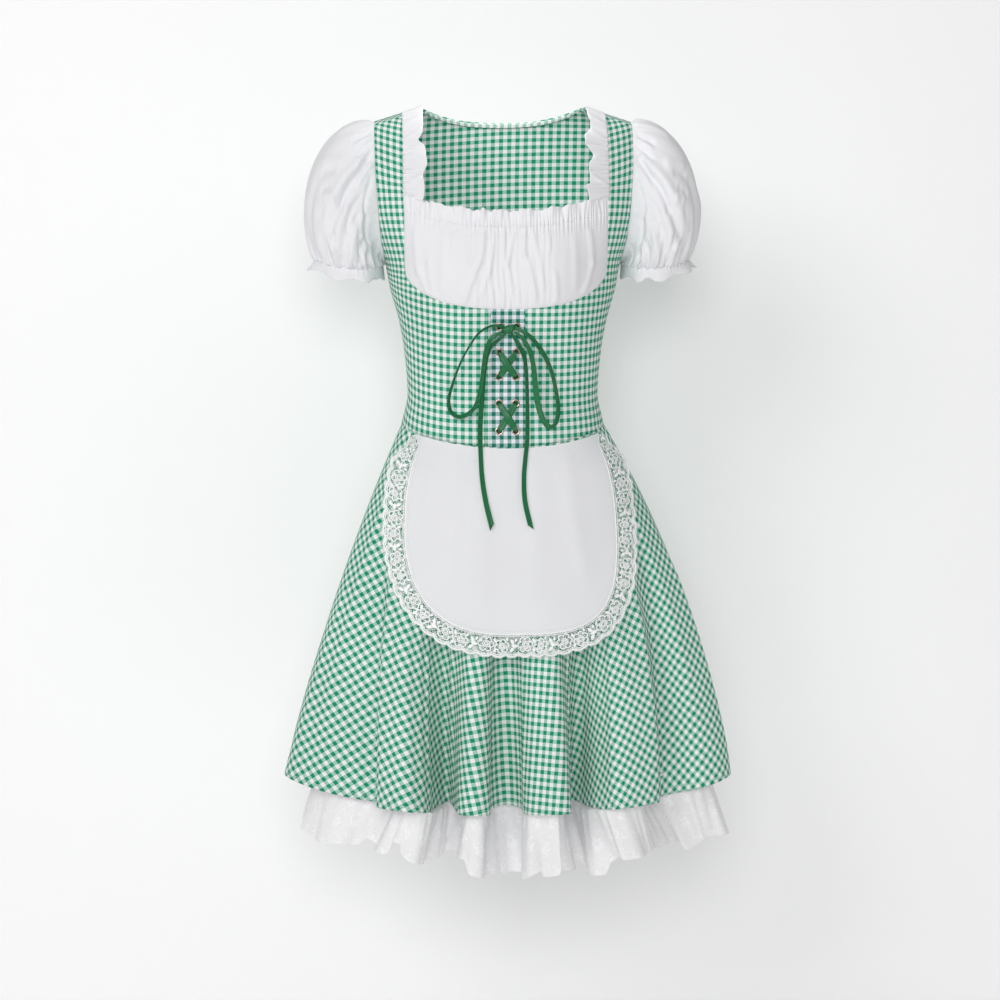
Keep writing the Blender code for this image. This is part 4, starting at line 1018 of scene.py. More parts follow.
def body_flat(x, z, side, tilt=0.0, strap_tilt=0.0):
    """Place of body points on the flat cloth; the tilts ease its rows down to the middle."""
    u = round_from_middle(x, z, side)
    v = up_from_waist(x, z, side)
    low = tilt * np.maximum(0.0, np.abs(u) - TILT_FROM) ** 2 * (
        1 - ease((z - TILT_FADE[0]) / TILT_FADE[1]))
    high = strap_tilt * (np.abs(u) - STRAP_MIDDLE) * ease((z - STRAP_FADE[0]) / STRAP_FADE[1])
    return join(u, v - low - high)


print("half the bust measures", round(float(round_from_middle(
    np.array([0.1439]), np.array([UNDERARM]), -1)[0]), 3), "m to the side seam")

# %% Back and neck binding
BACK_RISE = 0.45              # share of the back's height where its rows start to follow its top
NECK_ROUND = 2.6
BACK_SCOOP = -0.0235
BACK_STRETCH = 1.1           # worn across over cut across
BACK_LEAN = 0.05             # how much its rows climb to one side
SHOULDER_GAP = 0.0005
BINDING_WIDTH = 0.0052
BINDING_BELOW = 0.0008
BINDING_SHORT = 0.008


def back_top(x):
    """The back's upper edge: the shoulders, and the scooped neckline between them."""
    scoop = mix(BACK_SCOOP, NECK_POINT[1], np.minimum(1.0, np.abs(x) / NECK_POINT[0]) ** NECK_ROUND)
    return np.where(np.abs(x) >= NECK_POINT[0], shoulder(x), scoop)


def back_places(levels, across):
    """x and z of the back's grid, and whether each row still has a side seam."""
    t = np.linspace(0.0, 1.0, levels + 1)[:, None]
    level = mix(WAIST, SHOULDER_TIP[1], t)
    on_side = level <= UNDERARM
    edge = np.where(on_side, column(TORSO, level, 1), column(ARMHOLE, level, 2))
    start = angle_of(edge, level)
    x = x_at(mix(math.pi - start, start, np.linspace(0.0, 1.0, across + 1)[None, :]), level)
    x[:, 0], x[:, -1] = -edge[:, 0], edge[:, 0]
    rise = ease((t - BACK_RISE) / (1 - BACK_RISE))
    return x, level + (back_top(x) - SHOULDER_TIP[1]) * rise, on_side


def make_back():
    x, z, on_side = back_places(84, 96)
    x, z = lift_waist(x, z)
    points = body_point(x, z, 1)
    points[..., 1] = np.where(on_side, np.maximum(points[..., 1], SEAM / 2), points[..., 1])
    points[-1, :, 1] += SHOULDER_GAP
    points[0, :, 2] += SEAM / 2
    flat = body_flat(x, z, 1)
    flat = join(flat[..., 0] / BACK_STRETCH, flat[..., 1] - BACK_LEAN * flat[..., 0])
    shell("gingham_back", points, flat, GINGHAM, "bodice_back")
    return points


def make_neck_binding(back):
    """A strip of the same cloth inside the neckline, with its own row of stitches."""
    upper, below = back[-1], back[-4]
    down = unit(below - upper)
    inside = unit(np.cross(np.gradient(upper, axis=0), down))
    inside = np.where(inside[:, 1:2] > 0, -inside, inside)
    ends = np.abs(upper[:, 0]) < NECK_POINT[0] - BINDING_SHORT
    shares = np.linspace(1.0, 0.0, 6)[:, None, None]
    points = (upper + down * (BINDING_BELOW + BINDING_WIDTH * shares)
              + inside * (SOLID_WALL + 3 * SEAM))[:, ends]
    along = lengths(upper[ends])
    flat = join(along[None, :], -shares[..., 0] * BINDING_WIDTH)
    shell("gingham_neck_binding", points, flat, GINGHAM, "neck_binding_back")
    return points


BACK = make_back()
BINDING = make_neck_binding(BACK)
print("back:", BACK.shape[0] * BACK.shape[1], "points")

# %% Side fronts
PANEL_SHARE = 0.38            # share of a side front's height where its inner edge leaves the panel
CORNER_SHARE = 0.62           # and where it leaves the bust panel's corner for the strap
PANEL_ROWS = 29               # its rows beside the centre panel
UNDERARM_SHARE = 0.54         # share of its height where the armhole starts
BIB_HALF = 0.122
BIB_CORNER = -0.19           # height where the bust panel's lower corners start
BIB_DROP = 0.0546            # from there to its lowest point
BIB_ROUND = 2.4
CORNER_GAP = 0.0007
PANEL_TOP_GAP = 0.0006
FRONT_TILT = {-1: (1.25, 0.26), 1: (0.35, 0.24)}
UNDER = 0.0016                # how far a seam allowance lies under its neighbour
UNDER_LIFT = -0.0008


def front_edge(t):
    """Inner edge of a side front: centre panel, bust panel's corner, then the strap."""
    panel_x = PANEL_HALF + SEAM
    half, drop = BIB_HALF + CORNER_GAP, BIB_DROP + CORNER_GAP
    full = math.acos((panel_x / half) ** (BIB_ROUND / 2))
    panel_top = BIB_CORNER - drop * math.sin(full) ** (2 / BIB_ROUND)
    turn = full * np.clip((CORNER_SHARE - t) / (CORNER_SHARE - PANEL_SHARE), 0.0, 1.0)
    strap_z = mix(BIB_CORNER, NECK_POINT[1],
                  np.clip((t - CORNER_SHARE) / (1 - CORNER_SHARE), 0, 1))
    places = ((panel_x, mix(WAIST, panel_top, t / PANEL_SHARE)),
              (half * np.cos(turn) ** (2 / BIB_ROUND),
               BIB_CORNER - drop * np.sin(turn) ** (2 / BIB_ROUND)),
              (column(STRAP_EDGE, strap_z, 1), strap_z))
    return [np.where(t < PANEL_SHARE, low, np.where(t < CORNER_SHARE, corner, high))
            for low, corner, high in zip(*places)]


def make_side_front(word, side):
    t = np.concatenate((np.linspace(0, PANEL_SHARE, PANEL_ROWS + 1)[:-1],
                        np.linspace(PANEL_SHARE, CORNER_SHARE, 40)[:-1],
                        np.linspace(CORNER_SHARE, 1.0, 36)))[:, None]
    share = np.linspace(0.0, 1.0, 49)
    level = np.where(t < UNDERARM_SHARE, mix(WAIST, UNDERARM, t / UNDERARM_SHARE),
                     mix(UNDERARM, SHOULDER_TIP[1], (t - UNDERARM_SHARE) / (1 - UNDERARM_SHARE)))
    on_side = level <= UNDERARM
    outer_x = np.where(on_side, column(TORSO, level, 1), column(ARMHOLE, level, 1))
    inner_x, inner_z = front_edge(t)
    angle = mix(angle_of(outer_x, level), angle_of(inner_x, inner_z), share)
    x = x_at(angle, mix(level, inner_z, share))
    x[:, 0], x[:, -1] = outer_x[:, 0], inner_x[:, 0]
    z = mix(level, inner_z, (x - outer_x) / (inner_x - outer_x))
    x, z = lift_waist(x, z)
    points = body_point(x, z, -1)
    points[..., 1] = np.where(on_side, np.minimum(points[..., 1], -SEAM / 2), points[..., 1])
    points[-1, :, 1] -= SHOULDER_GAP
    points[0, :, 2] += SEAM / 2
    points, flat = for_side(side, points, body_flat(x, z, -1, *FRONT_TILT[side]) * (side, 1))
    shell(f"gingham_front_{word}", points, flat, GINGHAM, f"bodice_front_{word}")
    return points


FRONTS = [make_side_front(word, side) for word, side in SIDES]
print("side fronts:", FRONTS[0].shape)

# %% The laced panel
def bib_low(x):
    share = np.minimum(1.0, np.abs(x) / BIB_HALF)
    return BIB_CORNER - BIB_DROP * (1 - share ** BIB_ROUND) ** (1 / BIB_ROUND)


def make_centre_panel():
    """Straight-grained and cut double; flat across each pair of eyelets, with holes for them."""
    x = np.linspace(-PANEL_HALF - UNDER, PANEL_HALF + UNDER, 55)
    heights = [np.full_like(x, WAIST + SEAM / 2)]
    for height in reversed(EYELET_ROWS):
        heights += [np.full_like(x, height - EYELET_SEAT), np.full_like(x, height + EYELET_SEAT)]
    heights.append(bib_low(x) - PANEL_TOP_GAP)
    stations = [body_point(x, height, -1) for height in heights]
    rows = []
    for low, high in zip(stations, stations[1:]):
        steps = max(2, int(np.linalg.norm(high[27] - low[27]) / 0.0008))
        rows += [mix(low, high, k / steps) for k in range(steps)]
    points = np.stack(rows + [stations[-1]])
    points[..., 1] -= np.where(np.abs(x) > PANEL_HALF - SEAM, UNDER_LIFT, 0.0)
    middles = (points[:-1, :-1] + points[1:, 1:]) / 2
    keep = np.ones(middles.shape[:2], bool)
    for height in EYELET_ROWS:
        for side in (-1, 1):
            reach = np.linalg.norm(middles - eyelet_place(side, height)[0], axis=-1)
            keep &= reach > EYELET_HOLE
    flat = join(points[..., 0], points[..., 2] - WAIST)
    shell("gingham_centre_panel", points, flat, GINGHAM_DOUBLE, "centre_panel", 0.001, keep=keep)


make_centre_panel()
print("panel:", round(PANEL_HALF * 2000, 1), "mm wide")

# %% [markdown]
# ## Gathers
# A gathered edge is a run of small folds of uneven width and height. `gather_wave` lays them out
# from seeded widths, so that no two folds match and yet the same ones come back each time. Larger
# creases are listed one by one: each starts and ends somewhere on the piece, bows a little, and has
# its own width and depth.

# %% Gather helper
def gather_wave(share, count, seed, least=0.35):
    """Folds across an edge: share runs 0 to 1 along it, and each fold has its own size."""
    rng = np.random.default_rng(seed)
    widths = rng.uniform(0.55, 1.45, count)
    starts = np.concatenate(([0.0], np.cumsum(widths) / widths.sum()))
    phase = np.interp(share, starts, np.arange(count + 1))
    tall = np.interp(phase, np.arange(count + 1) + 0.5, rng.uniform(least, 1.0, count + 1))
    return tall * np.sin(2 * math.pi * phase)


def push_out(points, lift, middle, closed=False):
    """Moves a surface's points along its normals, away from a middle point."""
    return points + outward(points, middle, closed) * lift[..., None]


# %% [markdown]
# ## The bust panel
# White cotton, cut about a third wider than it finishes and drawn up on an elastic line near its
# top. Above the elastic a header stands free as a little frill. The gathers are closest and
# deepest in the middle, fade half way down and come back where the lower edge is eased into the
# bodice.

# %% Bust panel
BIB_TOP = -0.1475             # elastic line at the middle
BIB_TOP_RISE = 0.0182         # and how much higher it is at the sides
BIB_FULL = 1.32               # cut width over finished width
PUCKERS = 58                  # along the elastic
BIB_CREASES = (
    # start: x and z; end; bow, width, depth
    (-0.03, -0.149, -0.036, -0.196, 0.0015, 0.0032, 0.0024),
    (-0.036, -0.19, -0.052, -0.238, -0.001, 0.0036, 0.0022),
    (-0.016, -0.15, -0.024, -0.204, 0.001, 0.0028, 0.0019),
    (-0.024, -0.2, -0.032, -0.23, 0.0, 0.003, 0.0014),
    (-0.004, -0.149, -0.004, -0.196, -0.001, 0.003, 0.0022),
    (0.007, -0.15, -0.002, -0.194, 0.001, 0.0028, 0.0018),
    (-0.002, -0.19, 0.006, -0.238, 0.001, 0.003, 0.0018),
    (0.02, -0.149, 0.019, -0.184, -0.001, 0.0028, 0.0022),
    (0.019, -0.178, 0.033, -0.238, 0.002, 0.0032, 0.0021),
    (0.027, -0.15, 0.041, -0.222, 0.002, 0.003, 0.0014),
    (0.045, -0.147, 0.048, -0.18, 0.001, 0.0026, 0.0012),
    (0.054, -0.2, 0.057, -0.238, 0.001, 0.004, 0.0016),
    (-0.062, -0.147, -0.066, -0.184, -0.001, 0.0028, 0.0012),
    (-0.076, -0.156, -0.079, -0.222, 0.001, 0.0044, 0.001),
    (-0.109, -0.15, -0.105, -0.206, -0.001, 0.004, 0.0018),
    (-0.105, -0.196, -0.092, -0.232, -0.001, 0.0036, 0.0018),
    (-0.094, -0.184, -0.087, -0.234, -0.001, 0.0034, 0.0014),
    (0.097, -0.15, 0.101, -0.196, 0.001, 0.004, 0.0018),
    (0.101, -0.188, 0.09, -0.228, 0.002, 0.0036, 0.0018),
    (0.078, -0.157, 0.08, -0.222, 0.001, 0.0044, 0.0011),
    (-0.019, -0.222, -0.017, -0.243, 0.0, 0.002, 0.0013),
    (-0.009, -0.224, -0.007, -0.244, 0.0, 0.002, 0.0014),
    (0.012, -0.223, 0.013, -0.243, 0.0, 0.002, 0.0013),
)


def bib_high(x):
    return BIB_TOP + BIB_TOP_RISE * np.minimum(1.0, np.abs(x) / BIB_HALF) ** 2


def tucked(x):
    """Lowers what runs on under the side fronts."""
    return UNDER_LIFT * ease((np.abs(x) - BIB_HALF + 0.0014) / 0.001)


def pucker(x, down):
    """Close folds at the elastic, fading over the distance down from it."""
    return gather_wave(x / BIB_HALF * 0.5 + 0.5, PUCKERS, 11) * 0.0014 * np.exp(-down ** 1.4)


def make_bib():
    beside = np.linspace(-1.0, 1.0, 349)
    share = np.linspace(0.0, 1.0, 53)[:, None]
    x = (BIB_HALF + UNDER) * mix(np.sin(math.pi / 2 * beside), beside, 0.55) * np.ones_like(share)
    under = bib_low(x * BIB_HALF / (BIB_HALF + UNDER)) - UNDER
    z = mix(under, bib_high(x), share)
    low = z - under
    edge = np.clip((BIB_HALF - np.abs(x)) / 0.008, 0, 1) * np.clip(low / 0.006, 0, 1)
    middle = np.exp(-(x / 0.048) ** 2)
    along = x / BIB_HALF * 0.5 + 0.5
    long = gather_wave(along + 0.004 * np.sin(z * 90), 26, 12, 0.2) * 0.0008 * middle
    near = gather_wave(along, 34, 13, 0.1) * 0.0009 * np.exp(-(low / 0.017) ** 2) * middle
    lift = (pucker(x, (bib_high(x) - z) / 0.01) - 0.0006 * ease((z - bib_high(x) + 0.001) / 0.001)
            + (long + near + soft_creases(x, z, BIB_CREASES)) * edge + 0.0004 * edge
            + np.minimum(tucked(x), UNDER_LIFT * ease((0.0024 - low) / 0.001)))
    points = body_point(x, z, -1, lift)
    flat = body_flat(x, z, -1) * (BIB_FULL, 1.0)
    shell("cotton_bust_panel", points, flat, COTTON, "bib")
    return points


BIB = make_bib()

# %% Header frill
FRILL = 0.0188


def make_bib_frill():
    """The header above the elastic, its folds carried on from the puckers below."""
    beside = np.linspace(-1.0, 1.0, 361)
    share = np.concatenate(([-0.11, -0.05], np.linspace(0.0, 1.0, 16)))[:, None]
    x = (BIB_HALF + UNDER) * beside * np.ones_like(share)
    along = beside * 0.5 + 0.5
    big = gather_wave(along, 9, 21, 0.4)
    ragged = gather_wave(along, 29, 23, 0.1)
    z = bib_high(x) + (FRILL + 0.0013 * big + 0.0008 * ragged) * share
    up = np.maximum(share, 0.0)
    lift = (0.0036 * big * up ** 1.2 + 0.0014 * ragged * up ** 0.7 + tucked(x)
            + pucker(x, up * 2.0) + 0.0004 - 0.0016 * ease(-share / 0.11))
    points = body_point(x, z, -1, lift)
    flat = join(x * BIB_FULL, 0.06 + share * FRILL * np.ones_like(x))
    shell("cotton_header_frill", points, flat, COTTON, "bib_frill")
    return points


BIB_FRILL = make_bib_frill()
print("bust panel and header:", BIB.shape, BIB_FRILL.shape)

# %% Strap ruffles
STRAP_RUFFLE_LOW = -0.119
STRAP_RUFFLE_UNDER = 0.0015
RUFFLE_WIDTH = 0.026
RUFFLE_LENGTH = 0.119        # worn
RUFFLE_CUT = 0.15            # and cut
RUFFLE_LEFT = (
    # z,     width,  lift of the free edge: it turns over itself where both fall away
    (-0.119, 0.0225, 0.0018),
    (-0.11, 0.0258, 0.0046),
    (-0.102, 0.0262, 0.005),
    (-0.092, 0.0245, 0.0028),
    (-0.085, 0.0238, 0.0014),
    (-0.081, 0.0262, 0.003),
    (-0.076, 0.0295, 0.0056),
    (-0.064, 0.0285, 0.005),
    (-0.052, 0.0255, 0.0026),
    (-0.0485, 0.0222, 0.0012),
    (-0.046, 0.0196, 0.0052),
    (-0.041, 0.0236, 0.006),
    (-0.035, 0.025, 0.0046),
    (-0.005, 0.0255, 0.0026),
)
RUFFLE_RIGHT = (
    # z,     width,  lift
    (-0.119, 0.025, 0.002),
    (-0.106, 0.0282, 0.005),
    (-0.0995, 0.03, 0.0052),
    (-0.097, 0.0238, 0.0014),
    (-0.083, 0.0257, 0.0046),
    (-0.073, 0.025, 0.0036),
    (-0.067, 0.0207, 0.0014),
    (-0.0635, 0.02, 0.003),
    (-0.058, 0.0245, 0.005),
    (-0.051, 0.0291, 0.0056),
    (-0.043, 0.03, 0.0048),
    (-0.036, 0.025, 0.0024),
    (-0.03, 0.0208, 0.0012),
    (-0.024, 0.0214, 0.004),
    (-0.018, 0.0248, 0.005),
    (-0.005, 0.024, 0.0026),
)
RUFFLE_CREASES = (
    # start: metres from the sewn edge and up from the lower end; end; bow, width, depth
    (0.002, 0.022, 0.026, 0.034, 0.0005, 0.0026, 0.0021),
    (0.001, 0.044, 0.026, 0.039, -0.0005, 0.002, -0.0021),
    (0.002, 0.06, 0.026, 0.056, 0.0008, 0.003, 0.0023),
    (0.001, 0.075, 0.026, 0.07, 0.0005, 0.0019, -0.0022),
    (0.004, 0.084, 0.026, 0.09, -0.0006, 0.0028, 0.0018),
    (0.002, 0.102, 0.026, 0.106, 0.0005, 0.0024, 0.0018),
)


def make_strap_ruffle(word, side, table, seed):
    """A ruffle sewn along a strap's inner edge, free and turning over itself on the other."""
    up = np.linspace(0.0, 1.0, 221)[:, None]
    share = np.linspace(0.0, 1.0, 21)
    fine = gather_wave(up, 19, seed, 0.05)
    level = mix(STRAP_RUFFLE_LOW, NECK_POINT[1], up)
    width = column(table, level, 1)
    x = BIB_HALF + 0.0008 - width * share
    z = mix(STRAP_RUFFLE_LOW, shoulder(x) - STRAP_RUFFLE_UNDER, up)
    lift = (mix(0.0016, column(table, level, 2), share ** 1.4)
            + 0.0012 * fine * (1 - share) ** 2 + 0.0002 * fine
            + soft_creases(share * RUFFLE_WIDTH, up * RUFFLE_LENGTH, RUFFLE_CREASES)
            * share ** 0.4)
    lift = mix(-0.0012, lift, ease((z - bib_high(x) - FRILL + 0.003) / 0.003))
    points = body_point(x, z, -1, lift)
    points, flat = for_side(side, points, join(share * RUFFLE_WIDTH, up * RUFFLE_CUT))
    shell(f"cotton_strap_ruffle_{word}", points, flat, COTTON, f"strap_ruffle_{word}")
    return points


RUFFLES = [make_strap_ruffle(word, side, table, seed) for (word, side), table, seed
           in zip(SIDES, (RUFFLE_LEFT, RUFFLE_RIGHT), (31, 41))]
print("ruffles:", RUFFLES[0].shape)

# %% [markdown]
# ## The sleeves
# A puff sleeve is a wide piece gathered twice: into the armhole, and on an elastic above the
# cuff's little frill. Each lengthwise line of the sleeve leaves the armhole outwards, swells and
# turns down into the cuff, so a cubic curve with two pulls describes it. The gathers fade away
# from each seam, and the long soft folds between them are listed one by one.

# %% Sleeves
CAP_FOLDS = 10
CAP_FOLD_DEPTH = 0.001
SLEEVE_SEAM = (0.0022, 0.001)        # gap to the bodice, under the arm and at the shoulder
SLEEVE_SEAM_RISE = 0.0009
SLEEVE_REACH = (0.004, 0.075)         # how far it stands out from the armhole
SLEEVE_LEAVE = (1.0, 0.62, 0.1)       # direction in which it leaves the armhole
SLEEVE_FULL = (0.0325, 0.03, 0.0555)  # how far it swells over the cuff: out, round, up
SLEEVE_FULL_UNDER = (0.002, 0.006)    # and under the arm: out, up
SLEEVE_MIDDLE = np.array((0.165, 0.0, -0.115))
SLEEVE_CUT = 1.28                     # cut width over the width it fills out to
CUFF_CENTRE = (0.188, 0.0, -0.199)
CUFF_HALF = (0.041, 0.05)
CUFF_SLANT = 0.0035
CUFF_SADDLE = 0.005           # its ends lie higher than its front by this
SLEEVE_TURNED = 0.004         # how much its creases are turned, one way on each side
SLEEVE_CREASES = (
    # start turn and share of the length, end turn and share, bow, width, depth; the turn is 0
    # under the arm, 0.25 in front, 0.5 on top and 0.75 behind. Valleys are negative.
    (0.379, 0.0, 0.317, 0.12, 0.002, 0.01, -0.0042),
    (0.317, 0.12, 0.276, 0.46, 0.006, 0.012, -0.005),
    (0.276, 0.42, 0.322, 0.8, 0.006, 0.014, -0.003),
    (0.392, 0.01, 0.345, 0.12, 0.002, 0.009, 0.0026),
    (0.344, 0.1, 0.312, 0.46, 0.006, 0.016, 0.0044),
    (0.312, 0.42, 0.345, 0.74, 0.005, 0.016, 0.0022),
    (0.362, 0.0, 0.3, 0.16, 0.003, 0.007, -0.0028),
    (0.348, 0.01, 0.286, 0.16, 0.003, 0.008, 0.002),
    (0.252, 0.14, 0.232, 0.52, 0.003, 0.011, -0.0026),
    (0.232, 0.46, 0.276, 0.97, 0.006, 0.012, -0.0034),
    (0.262, 0.34, 0.3, 0.97, 0.006, 0.014, 0.0024),
    (0.3, 0.02, 0.196, 0.2, 0.004, 0.009, -0.0022),
    (0.196, 0.14, 0.132, 0.42, 0.003, 0.01, -0.0026),
    (0.214, 0.18, 0.166, 0.5, 0.004, 0.012, 0.0018),
    (0.212, 0.28, 0.222, 0.64, 0.003, 0.011, -0.0022),
    (0.222, 0.54, 0.256, 0.97, 0.004, 0.01, -0.0026),
    (0.198, 0.4, 0.234, 0.97, 0.006, 0.012, 0.002),
    (0.158, 0.46, 0.196, 0.95, 0.003, 0.01, -0.0026),
    (0.14, 0.5, 0.174, 0.95, 0.003, 0.01, 0.0016),
    (0.121, 0.5, 0.152, 0.92, 0.003, 0.01, -0.0018),
    (0.44, 0.0, 0.414, 0.13, 0.002, 0.008, -0.0032),
    (0.426, 0.0, 0.398, 0.12, 0.002, 0.008, 0.0028),
    (0.408, 0.0, 0.366, 0.12, 0.003, 0.008, -0.0034),
    (0.39, 0.0, 0.358, 0.07, 0.002, 0.006, -0.0022),
    (0.42, 0.38, 0.366, 0.22, 0.003, 0.016, 0.0032),
    (0.404, 0.42, 0.362, 0.31, 0.003, 0.013, -0.0024),
    (0.35, 0.5, 0.312, 0.42, 0.003, 0.015, 0.003),
    (0.37, 0.5, 0.34, 0.4, 0.002, 0.013, -0.0024),
    (0.32, 0.76, 0.286, 0.85, 0.002, 0.014, 0.0026),
    (0.284, 0.68, 0.282, 0.86, 0.001, 0.01, -0.002),
    (0.338, 0.56, 0.346, 0.98, 0.003, 0.014, -0.002),
    (0.408, 0.46, 0.402, 0.98, -0.004, 0.016, -0.002),
    (0.38, 0.6, 0.376, 0.98, 0.003, 0.014, 0.0016),
    (0.46, 0.99, 0.452, 0.6, 0.004, 0.014, 0.0022),
    (0.48, 0.01, 0.47, 0.24, 0.002, 0.01, 0.0026),
    (0.53, 0.01, 0.548, 0.3, 0.003, 0.012, 0.003),
    (0.525, 0.99, 0.54, 0.52, 0.004, 0.013, 0.0028),
    (0.56, 0.01, 0.6, 0.24, -0.003, 0.01, -0.003),
    (0.59, 0.01, 0.64, 0.3, -0.004, 0.012, 0.0034),
    (0.605, 0.99, 0.596, 0.5, 0.005, 0.013, 0.0032),
    (0.625, 0.99, 0.63, 0.4, 0.005, 0.011, -0.003),
    (0.65, 0.02, 0.72, 0.44, 0.008, 0.014, 0.0036),
    (0.628, 0.02, 0.69, 0.4, 0.008, 0.011, -0.0032),
    (0.68, 0.99, 0.7, 0.46, 0.005, 0.012, 0.003),
    (0.745, 0.98, 0.76, 0.38, -0.004, 0.013, 0.0032),
    (0.725, 0.98, 0.735, 0.46, -0.004, 0.01, -0.0026),
    (0.73, 0.03, 0.8, 0.26, 0.004, 0.011, 0.0026),
    (0.825, 0.98, 0.818, 0.42, 0.004, 0.011, 0.0024),
    (0.89, 0.98, 0.872, 0.56, 0.003, 0.01, 0.0016),
)


def armhole_loop(cells):
    """Points round the armhole, from the underarm up the front, over and down the back."""
    turn = np.linspace(0.0, math.pi, 161)
    z = mix(SHOULDER_TIP[1], UNDERARM, 0.5 + 0.5 * np.cos(turn))
    front = body_point(column(ARMHOLE, z, 1), z, -1)
    back = body_point(column(ARMHOLE, z, 2), z, 1)
    return evenly(np.concatenate((front, back[::-1][1:])), cells)[:-1]


def cuff_point(angle, drop=0.0, flare=0.0):
    """Round the cuff: angle 0 is next to the body, a quarter turn on is the front."""
    out = -np.cos(angle)
    return join(CUFF_CENTRE[0] + (CUFF_HALF[0] + flare) * out,
                CUFF_CENTRE[1] - (CUFF_HALF[1] + flare) * np.sin(angle),
                CUFF_CENTRE[2] + CUFF_SLANT * out + CUFF_SADDLE * out ** 2 - drop)


def sleeve_form(cells, levels):
    """Lengthwise curves from the armhole to the cuff, for the right arm."""
    turn = np.arange(cells) / cells
    angle = 2 * math.pi * turn[None, :]
    w = np.linspace(0.0, 1.0, levels + 1)[:, None]
    high = 0.5 - 0.5 * np.cos(angle)
    fore = -np.sin(angle)
    start = armhole_loop(cells)[None] + join(
        mix(*SLEEVE_SEAM, high), 0.0, SLEEVE_SEAM_RISE * (1 - high))
    end = cuff_point(angle)
    out, around, up = SLEEVE_LEAVE
    leave = join(out, around * fore * (1 - high * 0.3), up * high)
    near = start + leave * mix(*SLEEVE_REACH, high ** 0.8)[..., None]
    far = end + join(mix(SLEEVE_FULL_UNDER[0], SLEEVE_FULL[0], high ** 1.5),
                     SLEEVE_FULL[1] * fore,
                     mix(SLEEVE_FULL_UNDER[1], SLEEVE_FULL[2], high))
    s = w[..., None]
    points = (start * (1 - s) ** 3 + near * 3 * s * (1 - s) ** 2 + far * 3 * s * s * (1 - s)
              + end * s ** 3)
    fold = np.sin(angle * CAP_FOLDS + 1.3 * np.sin(angle * 2 + 0.5 * w))
    fade = high ** 0.6 * np.sin(math.pi * np.minimum(1.0, w * 1.15)) ** 0.7
    points += unit(points - SLEEVE_MIDDLE) * (fold * fade * CAP_FOLD_DEPTH)[..., None]
    return points, *np.broadcast_arrays(turn, w), high


def make_sleeve(word, side, seed):
    points, turn, w, high = sleeve_form(240, 84)
    inside = points[0] * (1, 0.975, 1) - (UNDER, 0, 0)
    points = np.concatenate((inside[None], points))
    turn, w = [np.concatenate((part[:1], part)) for part in (turn, w)]
    down = lengths(points)
    left = down[-1] - down
    puff = mix(0.25, 1.0, high)
    cap = gather_wave(turn, 42, seed) * 0.0015 * np.exp(-(down / 0.018) ** 1.4) * puff
    cuff = gather_wave(turn, 54, seed + 1) * 0.0014 * np.exp(-(left / 0.013) ** 1.3)
    cuff_long = gather_wave(turn, 24, seed + 2, 0.1) * 0.0018 * np.exp(-(left / 0.036) ** 2)
    creases = soft_creases(turn + SLEEVE_TURNED * side, w * 0.5,
                           np.array(SLEEVE_CREASES) * (1, 0.5, 1, 0.5, 1, 1, 1))
    edge = np.clip((down - 0.003) / 0.004, 0, 1)
    points = push_out(points, (cap + cuff + cuff_long + creases) * edge, SLEEVE_MIDDLE, True)
    width = lengths(points[len(points) // 2 - 1]).max() * SLEEVE_CUT
    turns = np.concatenate((turn, np.ones((len(turn), 1))), axis=1) - 0.5
    fall = np.concatenate((down, down[:, :1]), axis=1)
    points, flat = for_side(side, points, join(turns * width, -fall))
    shell(f"cotton_sleeve_{word}", points, flat, COTTON, f"sleeve_{word}", closed=True)
    return points


SLEEVES = [make_sleeve(word, side, seed) for (word, side), seed in zip(SIDES, (51, 61))]
print("sleeves:", SLEEVES[0].shape)

# %% Cuff frills
CUFF_FRILL = 0.015
CUFF_FRILL_CUT = 0.36         # cut length round the cuff
CUFF_WAVES = 8


def make_cuff_frill(word, side, seed):
    turn = (np.arange(288) / 288)[None, :]
    angle = 2 * math.pi * turn
    share = np.linspace(0.0, 1.0, 13)[:, None]
    high = 0.5 - 0.5 * np.cos(angle)
    away = mix(0.25, 1.0, high)
    wave = gather_wave(turn, CUFF_WAVES, seed + 5, 0.5)
    fine = gather_wave(turn, 54, seed)
    outer = high ** 4
    flare = away * (share ** 1.2 * (0.005 + 0.0054 * wave + 0.004 * outer)
                    + 0.0012 * fine * (1 - share)) - UNDER / 2 * (1 - share) ** 6
    length = (CUFF_FRILL + 0.0036 * wave + 0.0008 * fine) * (1 - 0.4 * outer)
    drop = (length + UNDER) * share - UNDER
    points = cuff_point(angle, drop, flare)
    turns = np.linspace(-0.5, 0.5, 289)[None, :]
    points, flat = for_side(side, points, join(turns * CUFF_FRILL_CUT, -share * CUFF_FRILL))
    shell(f"cotton_cuff_frill_{word}", points, flat, COTTON, f"cuff_frill_{word}", closed=True)


for (word, side), seed in zip(SIDES, (52, 62)):
    make_cuff_frill(word, side, seed)
print("cuff frills:", round(CUFF_FRILL * 1000), "mm long")

# %% [markdown]
# ## The skirt
# The skirt is cut as two ring sectors: the waist edge is the inner arc, the hem the outer one.
# Such cloth falls in deep soft folds that start near the waist and grow downwards. Each strip
# runs from a point on the waist to a point on the folded hem, and the cloth's length fixes how
# far it hangs. That keeps the gingham true: nothing stretches, so the checks crowd where a fold
# turns away and open out where it faces you.
#
# A ring sector has only one line of straight grain. Everywhere else the checks lie on the bias,
# and the table of grain angles says how far round the sector each share of the hem lies.

